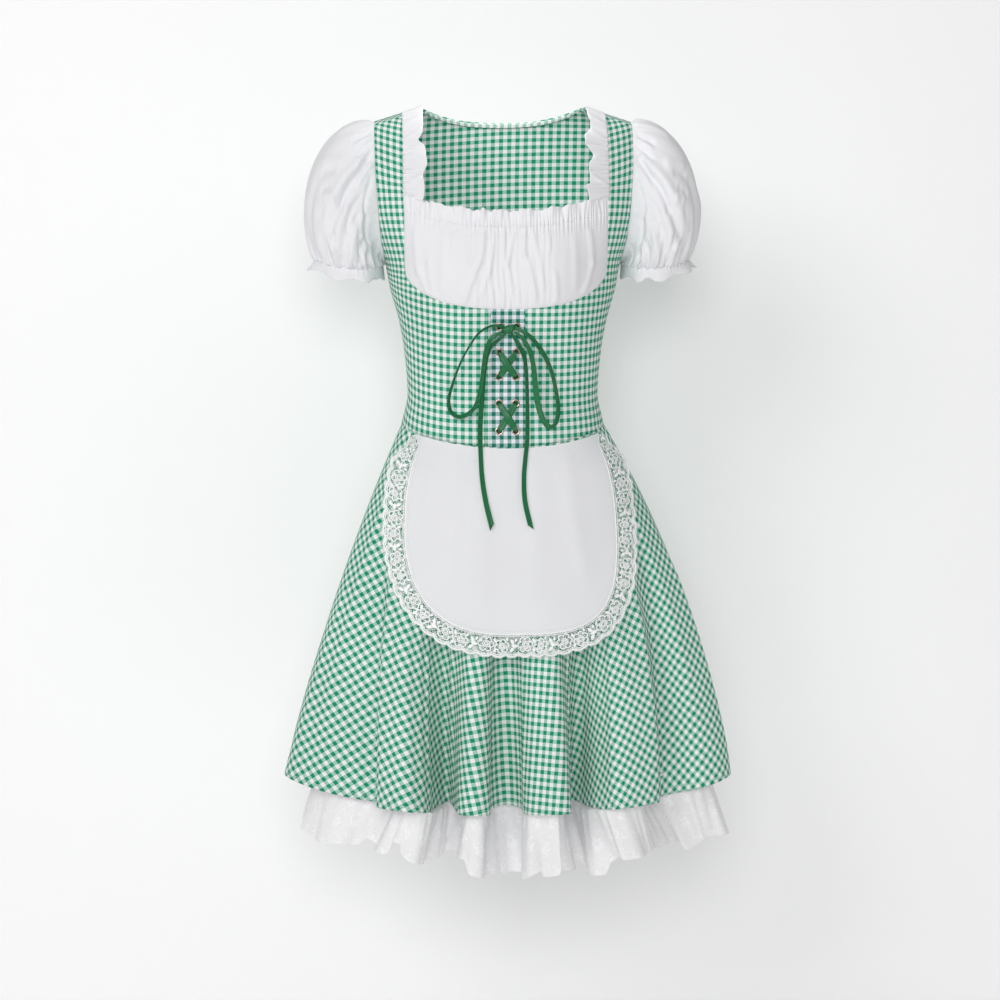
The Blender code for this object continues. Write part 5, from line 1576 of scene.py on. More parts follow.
# %% The skirt's hem, seen from above
SWELL = {-1: 0.009, 1: 0.022}  # how far each side bulges halfway down
SKIRT_GROWTH = 1.5             # folds grow with this power of the way down
SKIRT_CROWD = 0.85
SKIRT_LONGER = 0.007          # how much lower the cloth hangs at the right side seam
HEM_BACK = 0.178
SECTOR = 0.1745               # radius of the waist arc in the cut
HEM_FRONT_FOLDS = (
    # x,      y
    (-0.272, 0.0), (-0.27, -0.048), (-0.236, -0.082), (-0.19, -0.094), (-0.153, -0.106),
    (-0.16, -0.148), (-0.142, -0.177), (-0.122, -0.183), (-0.105, -0.168), (-0.096, -0.138),
    (-0.085, -0.106), (-0.073, -0.083), (-0.065, -0.106), (-0.064, -0.16), (-0.046, -0.179),
    (-0.028, -0.168), (-0.021, -0.122), (-0.002, -0.104), (0.014, -0.12), (0.019, -0.166),
    (0.042, -0.181), (0.066, -0.183), (0.074, -0.156), (0.071, -0.104), (0.079, -0.079),
    (0.092, -0.096), (0.106, -0.134), (0.128, -0.164), (0.16, -0.158), (0.18, -0.14),
    (0.184, -0.106), (0.208, -0.084), (0.246, -0.092), (0.28, -0.068), (0.286, 0.0),
)
HEM_BACK_FOLDS = (
    # x,      y
    (-0.272, 0.0), (-0.268, 0.052), (-0.236, 0.08), (-0.206, 0.078), (-0.186, 0.108),
    (-0.176, 0.146), (-0.146, 0.166), (-0.118, 0.15), (-0.108, 0.106), (-0.088, 0.092),
    (-0.072, 0.112), (-0.068, 0.154), (-0.044, 0.174), (-0.018, 0.164), (-0.01, 0.116),
    (0.008, 0.1), (0.026, 0.116), (0.032, 0.16), (0.058, 0.176), (0.086, 0.16), (0.092, 0.112),
    (0.11, 0.094), (0.13, 0.108), (0.138, 0.15), (0.164, 0.16), (0.19, 0.136), (0.198, 0.098),
    (0.222, 0.076), (0.254, 0.082), (0.28, 0.058), (0.286, 0.0),
)
FRONT_GRAIN = (
    # share of the hem, degrees round the sector from the straight grain
    (0.0, -53.0), (0.24, -29.5), (0.33, -21.0), (0.43, -10.5), (0.57, 5.5), (0.72, 25.0),
    (0.874, 45.0), (1.0, 61.0),
)
BACK_GRAIN = (
    (0.0, -50.0),
    (1.0, 54.0),
)
SKIRT_CREASES = (
    # start: share of the hem and of the length; end; bow, width, depth
    (0.185, 0.1, 0.2, 0.96, 0.004, 0.009, 0.0032),
    (0.282, 0.55, 0.276, 0.99, 0.002, 0.006, 0.003),
    (0.24, 0.3, 0.246, 0.99, -0.003, 0.01, -0.0026),
    (0.11, 0.12, 0.082, 0.8, 0.006, 0.014, 0.004),
    (0.06, 0.45, 0.048, 0.99, 0.003, 0.01, 0.003),
    (0.14, 0.35, 0.14, 0.99, 0.002, 0.01, -0.003),
    (0.356, 0.22, 0.352, 0.99, 0.0, 0.006, 0.0026),
    (0.492, 0.3, 0.49, 0.99, 0.0, 0.014, -0.003),
    (0.405, 0.35, 0.42, 0.99, 0.002, 0.007, 0.0026),
    (0.478, 0.4, 0.47, 0.99, 0.002, 0.01, -0.002),
    (0.541, 0.3, 0.543, 0.99, 0.001, 0.006, 0.003),
    (0.585, 0.45, 0.59, 0.99, 0.002, 0.008, 0.002),
    (0.655, 0.28, 0.64, 0.98, 0.003, 0.006, 0.0034),
    (0.7, 0.3, 0.7, 0.95, 0.002, 0.01, -0.0028),
    (0.807, 0.25, 0.82, 0.99, -0.004, 0.009, 0.0034),
    (0.76, 0.4, 0.765, 0.99, 0.002, 0.007, 0.0026),
    (0.873, 0.1, 0.902, 0.8, -0.005, 0.013, 0.004),
    (0.945, 0.4, 0.952, 0.99, 0.002, 0.01, 0.003),
    (0.86, 0.5, 0.862, 0.99, 0.002, 0.009, -0.0026),
)


def ring_curve(half, depth, side, cells):
    """Half a body section from the left seam to the right one, evenly by length."""
    angle = math.pi * (1 - np.linspace(0.0, 1.0, 801))
    curve = join(half * power(np.cos(angle), 2 / ROUND),
                 side * depth * power(np.maximum(np.sin(angle), 0.0), 2 / ROUND))
    return evenly(curve, cells)


class Skirt:
    """One panel of the skirt: where each strip starts, its smooth place and its folded place."""

    def __init__(self, side, folds, cells):
        self.side = side
        self.cells = cells
        self.top = ring_curve(TORSO[0][1], TORSO[0][2 if side < 0 else 3], side, cells)
        level = waist_line(self.top[:, 0])
        self.top[:, 0] *= column(TORSO, level, 1) / TORSO[0][1]
        self.top[1:-1, 1] = body_y(self.top[1:-1, 0], level[1:-1], side)
        self.rise = level - WAIST
        self.cone = ring_curve(HEM_HALF, HEM_FRONT if side < 0 else HEM_BACK, side, cells)
        self.hem = evenly(spline(folds, 12), cells)

    def points(self, v):
        """Rows of points at shares v of the way down."""
        v = np.asarray(v, float)[:, None, None]
        flat = mix(self.top, self.cone, v) + (self.hem - self.cone) * v ** SKIRT_GROWTH
        beside = power(self.cone[:, 0] / HEM_HALF, 3)
        swell = np.where(beside > 0, SWELL[1], SWELL[-1])
        flat[..., 0] += beside * swell * 4 * v[..., 0] * (1 - v[..., 0])
        out = np.linalg.norm(flat - self.top, axis=-1)
        length = SKIRT_LENGTH + SKIRT_LONGER * np.clip(self.cone[:, 0] / HEM_HALF, 0, 1) ** 4
        drop = np.sqrt(np.maximum(0.0, (length * v[..., 0]) ** 2 - out ** 2))
        z = WAIST + self.rise * (1 - v[..., 0]) - SEAM / 2 - drop
        return np.concatenate((flat, z[..., None]), axis=-1)


def make_skirt(name, node, skirt, grain, creases, levels, seed):
    v = np.linspace(0.0, 1.0, levels + 1) ** SKIRT_CROWD
    share = np.linspace(0.0, 1.0, skirt.cells + 1)
    points = skirt.points(v)
    down, across = v[:, None], share[None, :]
    ends = np.clip(np.minimum(across, 1 - across) / 0.012, 0, 1)
    pucker = gather_wave(across, 34, seed, 0.1) * 0.0006 * np.exp(-(down / 0.06) ** 2)
    ripple = gather_wave(across + 0.012 * down, 9, seed + 1) * 0.0016 * down ** 1.2
    lift = (pucker + ripple + soft_creases(across, down, creases)) * ends * np.clip(
        down / 0.01, 0, 1)
    inside = np.array((0.0, skirt.side * 0.02, -0.6))
    points = push_out(points, lift, inside)
    points[:, 0, 1] = points[:, -1, 1] = skirt.side * SEAM / 2
    turn = np.radians(column(grain, across, 1))
    allowance = points[:1] * (1, 0.99, 1) + (0.0, 0.0, UNDER)
    points, down = np.concatenate((allowance, points)), np.concatenate(([[-0.004]], down))
    reach = SECTOR + SKIRT_LENGTH * down - skirt.rise * (1 - down)
    flat = join(reach * np.sin(turn), -reach * np.cos(turn))
    shell(name, points, flat, GINGHAM, node)
    return points


FRONT_SKIRT = Skirt(-1, HEM_FRONT_FOLDS, 440)
BACK_SKIRT = Skirt(1, HEM_BACK_FOLDS, 340)
SKIRT_FRONT = make_skirt("gingham_skirt_front", "skirt_front", FRONT_SKIRT, FRONT_GRAIN,
                         SKIRT_CREASES, 72, 71)
SKIRT_BACK = make_skirt("gingham_skirt_back", "skirt_back", BACK_SKIRT, BACK_GRAIN,
                        SKIRT_CREASES[::2], 60, 81)
print("hem round:", round(lengths(SKIRT_FRONT[-1])[-1] + lengths(SKIRT_BACK[-1])[-1], 3), "m")

# %% [markdown]
# ## The flounce
# White tulle is gathered on to a line just inside the hem and hangs below it, following the
# skirt's folds and adding close ones of its own. Its sprigs are embroidered in the tulle: a mask
# of small flowers makes the net denser and raises it slightly.

# %% Flounce
FLOUNCE_TOP = 0.94           # where on the skirt it is sewn, 1 at the hem
FLOUNCE_SEWN = 0.0021
FLOUNCE_INSET = 0.003        # how far inside the skirt it lies
FLOUNCE_WAVES = {-1: 13, 1: 11}
FLOUNCE_DEPTH = 0.009         # how far the waves swing in and out
FLOUNCE_ROWS = (4, 23)        # inside the hem, and below it
FLOUNCE_CUT = (-0.027, -0.0068, 0.078)        # in the cut: sewn edge, last row inside, free edge
FLOUNCE_TUCK = ((0.132, 0.062), (0.088, 0.002))       # left and right: below the hem, at its edge
FLOUNCE_EASE = 0.16
FLOUNCE_FULL = 1.25           # cut length over the hem it is sewn to
FLOUNCE_DROP = (
    # x,     drop below the skirt's hem
    (-0.286, 0.073), (-0.24, 0.071), (-0.215, 0.064), (-0.19, 0.063), (-0.173, 0.052),
    (-0.152, 0.06), (-0.148, 0.046), (-0.136, 0.047), (-0.132, 0.058), (-0.11, 0.066),
    (-0.09, 0.064), (-0.055, 0.054), (-0.049, 0.073), (-0.012, 0.081), (0.015, 0.082),
    (0.021, 0.078), (0.031, 0.072), (0.036, 0.08), (0.058, 0.079), (0.064, 0.072),
    (0.078, 0.073), (0.085, 0.086), (0.104, 0.085), (0.108, 0.068), (0.125, 0.06), (0.13, 0.064),
    (0.179, 0.063), (0.184, 0.057), (0.202, 0.058), (0.222, 0.075), (0.246, 0.07),
    (0.286, 0.078),
)


def make_flounce(name, node, skirt, seed):
    """Gathered tulle, its rows carried on below the skirt's own hem."""
    sewn = skirt.points(np.linspace(FLOUNCE_TOP, 1.0, FLOUNCE_ROWS[0], endpoint=False))
    hem = skirt.points([1.0])[0]
    along = np.gradient(hem[:, :2], axis=0)
    inside = unit(join(along[:, 1], -along[:, 0], 0.0)) * skirt.side
    share = np.linspace(0.0, 1.0, skirt.cells + 1)
    sink = -np.minimum(0.0, soft_creases(share, np.ones_like(share), SKIRT_CREASES))
    inset = np.linspace(FLOUNCE_SEWN, FLOUNCE_INSET, FLOUNCE_ROWS[0], endpoint=False)[:, None, None]
    rows = [sewn + inside * (inset + sink[None, :, None])]
    count = FLOUNCE_WAVES[skirt.side]
    turn = 2 * math.pi * share * count
    drift = 0.9 * np.sin(turn * 0.31)
    fade = np.clip(np.minimum(share, 1 - share) * 12, 0, 1)
    wave = np.tanh(2.0 * np.sin(turn + drift)) * FLOUNCE_DEPTH * fade
    fine = gather_wave(share, count * 5, seed) * 0.0016 * fade
    cone = np.concatenate((skirt.cone, np.zeros((len(skirt.cone), 1))), axis=1)
    beside = 0.5 + 0.5 * cone[:, 0] / HEM_HALF
    tuck_high, tuck_low = [mix(left, right, beside) for left, right in zip(*FLOUNCE_TUCK)]
    for s in np.linspace(0.0, 1.0, FLOUNCE_ROWS[1]):
        gathers = fine * (1 - 0.7 * s) * min(1.0, s * 8)
        row = hem + inside * (FLOUNCE_INSET + sink * (1 - s) - s * wave - gathers)[:, None]
        row = mix(row, cone, FLOUNCE_EASE * s)
        row = row * (1 - mix(tuck_high * min(1.0, s * 14), tuck_low, s))[:, None]
        row[:, 2] = hem[:, 2] - column(FLOUNCE_DROP, hem[:, 0], 1) * s
        rows.append(row[None])
    points = np.concatenate(rows)
    points[:, 0, 1] = points[:, -1, 1] = skirt.side * SEAM / 2
    fall = np.concatenate((np.linspace(*FLOUNCE_CUT[:2], FLOUNCE_ROWS[0]),
                           np.linspace(0, FLOUNCE_CUT[2], FLOUNCE_ROWS[1])))
    flat = join(share[None, :] * lengths(hem)[-1] * FLOUNCE_FULL, -fall[:, None])
    shell(name, points, flat, TULLE, node, None)
    return points


FLOUNCES = [make_flounce("tulle_flounce_front", "flounce_front", FRONT_SKIRT, 91),
            make_flounce("tulle_flounce_back", "flounce_back", BACK_SKIRT, 95)]
print("flounces:", [points.shape for points in FLOUNCES])

# %% [markdown]
# ## The apron
# Thin white cotton, taken into the waist seam and cut round below. It hangs a little off the
# skirt, smooth across the front, with a few soft folds where it leaves the waist.

# %% Apron
APRON_HALF = (
    # z,     half
    (-0.64, 0.1285),
    (-0.53, 0.1285),
    (-0.48, 0.1265),
    (-0.44, 0.1195),
    (-0.412, 0.11),
)
APRON_CORNER = -0.5
APRON_DROP = 0.131
APRON_ROUND = {-1: 2.6, 1: 3.6}       # fuller on the right
APRON_SHIFT = 0.004                   # it sits this far to the right of the middle
APRON_TOP = WAIST - 0.001
APRON_LONGER = 1.045                  # its cut length over the height it takes up
APRON_MIDDLE = -0.48
APRON_CLIMB = WAIST_DIP * APRON_HALF[-1][1] ** 2      # and at its upper corners higher by this
APRON_CREASES = (
    # start: x and z; end; bow, width, depth
    (-0.06, -0.414, -0.078, -0.56, 0.004, 0.01, 0.0016),
    (-0.024, -0.414, -0.034, -0.6, -0.003, 0.012, 0.0012),
    (0.03, -0.414, 0.028, -0.59, 0.003, 0.013, 0.0014),
    (0.072, -0.414, 0.094, -0.57, -0.004, 0.011, 0.0016),
    (-0.096, -0.44, -0.108, -0.55, 0.002, 0.007, 0.001),
)


def apron_half(z):
    return column(APRON_HALF, z, 1)


def apron_low(share):
    """Lower edge at a share of the half width."""
    power_here = np.where(share < 0, APRON_ROUND[-1], APRON_ROUND[1])
    return APRON_CORNER - APRON_DROP * (1 - np.abs(share) ** power_here) ** (1 / power_here)


def apron_lift(x, z):
    """Soft folds of the apron, easing in below the waist."""
    down = np.clip((waist_line(x) - 0.001 - z) / 0.02, 0, 1)
    return soft_creases(x, z, APRON_CREASES) * down


def make_apron():
    share = np.sin(math.pi / 2 * np.linspace(-1.0, 1.0, 97))[None, :]
    fall = np.linspace(0.0, 1.0, 81)[:, None]
    z = mix(APRON_TOP + APRON_CLIMB * share ** 2, apron_low(share), fall)
    x = APRON_SHIFT + share * apron_half(z)
    points = apron_point(x, z, apron_lift(x, z))
    along = np.hypot(np.diff(points[..., 0], axis=1), np.diff(points[..., 1], axis=1))
    u = np.concatenate((0 * along[:, :1], np.cumsum(along, axis=1)), axis=1)
    u -= u[:, along.shape[1] // 2:][:, :1]
    flat = join(u, (z - WAIST) * APRON_LONGER)
    shell("cotton_apron", points, flat, APRON_COTTON, "apron", None)
    return points


APRON = make_apron()
print("apron:", APRON.shape)

# %% [markdown]
# ## The knot
# The bow's knot is the same ribbon wrapped once round the crossing of its two ends. A band bent
# into a ring, fuller in the middle and creased along its length, says that better than a ball.

# %% Knot
KNOT_HALF = (0.006, 0.0041, 0.0051)
KNOT_HEIGHT = -0.267
KNOT_LIFT = 0.0092
KNOT_ROUND = 0.029            # ribbon that goes once round it


def make_knot():
    centre = body_point(0.0, KNOT_HEIGHT, -1, KNOT_LIFT)
    across = np.linspace(-1.0, 1.0, 19)[:, None]
    turn = (2 * math.pi * np.arange(48) / 48)[None, :]
    creases = (0.055 * np.cos(8.5 * across + 0.8 * np.sin(turn))
               + 0.03 * np.cos(15.0 * across - 1.2 * np.cos(turn)))
    swell = 1.0 - 0.3 * across ** 2 + creases
    x = KNOT_HALF[0] * across * (1 + 0.1 * np.sin(turn + 0.6))
    y = -KNOT_HALF[1] * swell * np.cos(turn)
    z = KNOT_HALF[2] * swell * np.sin(turn) + 0.0012 * across
    points = centre + join(x, y, z)
    turns = np.linspace(0.0, 1.0, 49) * KNOT_ROUND
    flat = join(across * RIBBON_WIDTH / 2, turns)
    shell("satin_knot", points, flat, SATIN, "bow_knot", RIBBON_THICK, closed=True)


make_knot()
print("knot:", [round(2000 * half, 1) for half in KNOT_HALF], "mm")

# %% [markdown]
# ## Lace
# The apron's edging is an embroidered net about 27 mm wide. It is drawn flat, as a lace machine
# works it: a header that is sewn on, a diagonal net, roses of coiled cord with round petals,
# leaves between them, and a scalloped border with small loops along it. `Work` collects these
# shapes, and one function then carries every point on to the apron's curved edge, so the edging
# is a single mesh whose holes are real.

# %% Lace drawing
class Work:
    """Cords and filled shapes on a flat edging, collected until they become one mesh."""

    def __init__(self):
        self.spots = []
        self.faces = []
        self.count = 0

    def add(self, spots, faces):
        self.faces += [[self.count + k for k in face] for face in faces]
        self.spots.append(spots)
        self.count += len(spots)

    def cord(self, path, width, lift, round_back=True):
        """A strip along a path; a thick one has a raised middle."""
        path = np.asarray(path, float)
        way = unit(np.gradient(path, axis=0))
        side = join(-way[:, 1], way[:, 0]) * width / 2
        rails = [(path - side, 0.0), (path, 0.45 * width), (path + side, 0.0)]
        if not round_back:
            rails = [rails[0], rails[2]]
        spots = np.concatenate([np.column_stack((rail, np.full(len(rail), lift + rise)))
                                for rail, rise in rails])
        n = len(path)
        self.add(spots, [(r * n + k, r * n + k + 1, (r + 1) * n + k + 1, (r + 1) * n + k)
                         for r in range(len(rails) - 1) for k in range(n - 1)])

    def filled(self, outline, lift, dome):
        """A closed shape with a raised middle."""
        outline = np.asarray(outline, float)
        middle = outline.mean(axis=0)
        inner = mix(middle, outline, 0.55)
        n = len(outline)
        spots = np.concatenate((np.column_stack((outline, np.full(n, lift))),
                                np.column_stack((inner, np.full(n, lift + dome * 0.8))),
                                [[*middle, lift + dome]]))
        ring = [(k, (k + 1) % n, n + (k + 1) % n, n + k) for k in range(n)]
        self.add(spots, ring + [(n + k, n + (k + 1) % n, 2 * n) for k in range(n)])


def arc(centre, radius, start, stop, steps):
    turn = np.radians(np.linspace(start, stop, steps + 1))
    return join(centre[0] + radius * np.cos(turn), centre[1] + radius * np.sin(turn))


def draw_rose(work, centre, size, lean):
    """A coiled cord in a ring of round petals."""
    turn = np.linspace(0.0, 2.15 * 2 * math.pi, 44)
    reach = size * mix(0.1, 0.6, turn / turn[-1])
    work.cord(join(centre[0] + reach * np.cos(turn + lean),
                   centre[1] + reach * np.sin(turn + lean)), 0.00125, 0.0007)
    for k in range(6):
        angle = lean + 2 * math.pi * k / 6
        petal = (centre[0] + 0.74 * size * math.cos(angle),
                 centre[1] + 0.74 * size * math.sin(angle))
        facing = math.degrees(angle)
        work.cord(arc(petal, 0.4 * size, facing - 118, facing + 118, 9), 0.0014, 0.0005)


def draw_leaf(work, root, angle, length, width):
    along = np.linspace(0.0, 1.0, 8)
    bulge = np.sin(math.pi * along) * width / 2
    spine, half = join(along * length, 0.0), join(0.0, bulge)
    outline = np.concatenate((spine + half, (spine - half)[::-1][1:-1]))
    cos, sin = math.cos(angle), math.sin(angle)
    turned = outline @ np.array(((cos, sin), (-sin, cos)))
    work.filled(turned + root, 0.0005, 0.0004)


# %% Lace pattern
LACE_WIDTH = 0.0275
LACE_GAP = 0.0007
LACE_TAKEN_IN = 0.045         # height below the waist over which the waist seam takes it in
LACE_TAKEN_WIDTH = 0.45
LACE_REPEAT = 0.046
NET_PITCH = 0.0036
SCALLOP = 0.0153              # three scallops to a repeat
SCALLOP_DEPTH = 0.003
ROSES = (
    # along the repeat, across the edging, size, lean
    (0.0085, 0.0125, 0.0078, 0.3),
    (0.0265, 0.0142, 0.0072, 1.1),
)
LEAVES = (
    # along, across, angle in degrees, length, width
    (0.037, 0.006, 62, 0.008, 0.0038),
    (0.036, 0.0215, -52, 0.0078, 0.0038),
    (0.0372, 0.0135, 8, 0.0084, 0.0042),
    (0.0176, 0.005, 70, 0.0058, 0.0031),
    (0.0178, 0.0222, -70, 0.0056, 0.0031),
    (0.033, 0.0035, 100, 0.0048, 0.0026),
    (0.044, 0.005, 105, 0.0052, 0.0028),
)


def scallop_edge(a):
    """How far out the border runs at a place along the edging."""
    return LACE_WIDTH - SCALLOP_DEPTH + SCALLOP_DEPTH * np.abs(np.sin(math.pi * a / SCALLOP)) ** 0.8


def draw_border(work, length):
    a = np.arange(0.0, length, SCALLOP / 12)
    edge = scallop_edge(a)
    for inset, width in ((0.0009, 0.0019), (0.0033, 0.001)):
        work.cord(join(a, edge - inset), width, 0.0004)
    zig = np.arange(0.0, length, 0.0011)
    inset = np.where(np.arange(len(zig)) % 2, 0.001, 0.003)
    work.cord(join(zig, scallop_edge(zig) - inset), 0.0005, 0.0003, False)
    for start in np.arange(0.0006, length - 0.003, 0.0023):
        centre = (start, float(scallop_edge(start)) + 0.0003)
        work.cord(arc(centre, 0.00078, -35, 215, 6), 0.00042, 0.0004, False)


def draw_header(work, length):
    a = np.arange(0.0, length, 0.004)
    for b, width in ((0.0006, 0.0016), (0.0031, 0.0007)):
        work.cord(join(a, b), width, 0.0003)
    for start in np.arange(0.0, length, 0.0019):
        work.cord(((start, 0.0008), (start + 0.0003, 0.0031)), 0.0006, 0.0002, False)


def draw_net(work, length):
    for slope in (-1, 1):
        for start in np.arange(-LACE_WIDTH, length, NET_PITCH):
            b = np.linspace(0.0012, LACE_WIDTH - 0.0022, 9)
            a = start + (b if slope > 0 else LACE_WIDTH - b)
            inside = (a > 0) & (a < length)
            if inside.sum() > 1:
                work.cord(join(a, b)[inside], 0.0003, 0.0, False)


def draw_lace(length):
    work = Work()
    draw_net(work, length)
    draw_header(work, length)
    draw_border(work, length)
    count = round(length / LACE_REPEAT)
    for k in range(count):
        shift = np.array(((k + 0.5) * length / count - LACE_REPEAT / 2, 0.0))
        for a, b, size, lean in ROSES:
            draw_rose(work, shift + (a, b), size, lean + k)
        for a, b, angle, long, wide in LEAVES:
            draw_leaf(work, shift + (a, b), math.radians(angle), long, wide)
    return work


# %% The apron's edging
def apron_edge(cells):
    """The apron's cut edge from the waist down round and up again, as x and z."""
    side_z = np.linspace(APRON_TOP + APRON_CLIMB, APRON_CORNER, 60)
    turn = np.linspace(0.0, math.pi / 2, 161)[1:]
    halves = []
    for side in (-1, 1):
        low_z = APRON_CORNER - APRON_DROP * np.sin(turn) ** (2 / APRON_ROUND[side])
        low_x = np.cos(turn).clip(0.0) ** (2 / APRON_ROUND[side]) * apron_half(low_z)
        halves.append(join(side * np.concatenate((apron_half(side_z), low_x)),
                           np.concatenate((side_z, low_z))))
    return evenly(np.concatenate((halves[0], halves[1][::-1][1:])) + (APRON_SHIFT, 0.0), cells)


EDGE = apron_edge(1600)
EDGE_LENGTH = float(lengths(EDGE)[-1])


def lace_place(a, b, lift):
    """From flat lace coordinates to the apron's edge."""
    way = unit(np.gradient(EDGE, axis=0))
    outward = join(way[:, 1], -way[:, 0])
    outward = np.where((outward * (EDGE - (APRON_SHIFT, APRON_MIDDLE))).sum(1)[:, None] < 0,
                       -outward, outward)
    near = 1 - ease((EDGE[0, 1] - EDGE[:, 1]) / LACE_TAKEN_IN)
    sideways = join(np.sign(EDGE[:, 0]), -0.02)
    outward = unit(mix(outward, sideways, near[:, None]))
    width = mix(1.0, LACE_TAKEN_WIDTH, near)
    at = np.linspace(0.0, EDGE_LENGTH, len(EDGE))
    far = LACE_GAP + b * np.interp(a, at, width) - 0.0012
    x = np.interp(a, at, EDGE[:, 0]) + far * np.interp(a, at, outward[:, 0])
    z = np.interp(a, at, EDGE[:, 1]) + far * np.interp(a, at, outward[:, 1])
    ripple = 0.0012 * np.sin(a * 110) * b / LACE_WIDTH
    return apron_point(x, np.minimum(z, waist_line(x) - 0.0005), ripple + lift)


def make_lace():
    work = draw_lace(EDGE_LENGTH)
    spots = np.concatenate(work.spots)
    points = lace_place(spots[:, 0], spots[:, 1], spots[:, 2])
    corners = np.concatenate([np.array(face) for face in work.faces])
    data = smooth_mesh("lace_edging", points, work.faces, spots[corners, :2])
    dress_in(add_object("lace_edging", data), LACE_THREAD, ["apron_lace"])
    print("lace:", len(work.faces), "faces on", round(EDGE_LENGTH, 3), "m of edge")


make_lace()

# %% [markdown]
# ## Stitches
# Rows of small stitches hold the elastic, the binding, the seams and the hems. Each stitch is a
# short round thread that comes up out of the cloth and goes down again. `stitch_row` spaces them
# along a line and turns each one with the cloth under it.

# %% Stitch rows
STITCH_THICK = 0.00022        # radius of the thread
STITCH_FILLED = 0.64          # share of the pitch that the thread shows on
CHEST = np.array((0.0, 0.0, -0.2))
HIPS = np.array((0.0, 0.0, -0.7))
ELASTIC_AT = (47.2, 45.0)     # rows of the bust panel's grid, counted from its lower edge
CUFF_AT = 83.0                # row of the sleeve's, from the cap
STRAP_AT = 1.0                # line of the ruffle's, from its sewn edge
PANEL_AT = 1.3                # line of a side front's, from the centre panel
BINDING_AT = 4.0
HEM_AT = 1.2                  # row of the skirt's, from the hem


def stitch_row(name, line, out, pitch):
    """Stitches along a line of points, raised along the outward normals beside it."""
    at = lengths(line)
    count = int(at[-1] / pitch)
    starts = (np.arange(count)[:, None] + (1 - STITCH_FILLED) / 2) * pitch
    s = np.linspace(0.0, 1.0, 4)
    where = starts + s * STITCH_FILLED * pitch
    spots = np.stack([np.interp(where, at, line[:, k]) for k in range(3)], axis=-1)
    raised = np.stack([np.interp(where, at, out[:, k]) for k in range(3)], axis=-1)
    spots = spots + raised * ((np.sin(math.pi * s) * 1.3 - 0.3) * STITCH_THICK
                              + CLOTH / 2)[..., None]
    way = unit(np.gradient(spots, axis=1))
    across = np.cross(way, raised)
    ring = [spots + (raised * math.cos(t) + across * math.sin(t)) * STITCH_THICK
            for t in np.radians((0, 90, 180, 270))]
    points = np.stack(ring, axis=2).reshape(-1, 3)
    base = np.arange(count)[:, None, None] * 16
    k, c = np.meshgrid(np.arange(3), np.arange(4), indexing="ij")
    near, far = k * 4, (k + 1) * 4
    faces = np.stack([base + part for part in (near + c, near + (c + 1) % 4,
                                               far + (c + 1) % 4, far + c)], axis=-1)
    data = smooth_mesh(name, points, faces.reshape(-1, 4).tolist())
    dress_in(add_object(name, data), WHITE_THREAD)


def stitch_across(name, points, at, pitch=0.0026, middle=CHEST, facing=1):
    """Stitches along a grid's row `at`, which may lie between two, on its outer face."""
    out = outward(points, middle) * facing
    low = int(at)
    high = min(low + 1, len(points) - 1)
    stitch_row(name, mix(points[low], points[high], at - low),
               unit(mix(out[low], out[high], at - low)), pitch)


for k, at in enumerate(ELASTIC_AT, start=1):
    stitch_across(f"stitches_bust_elastic_{k}", BIB, at, 0.0024)
for (word, side), sleeve in zip(SIDES, SLEEVES):
    ring = np.concatenate((sleeve, sleeve[:, :1]), axis=1)
    stitch_across(f"stitches_cuff_{word}", ring, CUFF_AT, middle=SLEEVE_MIDDLE * (side, 1, 1))
for seam, grids, at, first in (("strap", RUFFLES, STRAP_AT, 1),
                               ("panel", [front[:PANEL_ROWS] for front in FRONTS], PANEL_AT, -1)):
    for (word, side), grid in zip(SIDES, grids):
        upright = grid.transpose(1, 0, 2)
        stitch_across(f"stitches_{seam}_{word}", upright,
                      at if side == first else len(upright) - 1 - at)
stitch_across("stitches_neck_binding", BINDING, BINDING_AT, facing=-1)
print("stitched: elastic, cuffs, straps, panel and neckline")

# %% Hem stitches
for word, points in (("front", SKIRT_FRONT), ("back", SKIRT_BACK)):
    stitch_across(f"stitches_hem_{word}", points, len(points) - 1 - HEM_AT, 0.003, HIPS)
around = np.linspace(0.0, EDGE_LENGTH, 900)
hem_line = lace_place(around, -0.003, 0.0)
hem_out = unit(np.cross(np.gradient(hem_line, axis=0), lace_place(around, 0.001, 0.0) - hem_line))
hem_out *= np.where(hem_out[:, 1:2] > 0, -1, 1)
stitch_row("stitches_apron_edge", hem_line, hem_out, 0.0028)
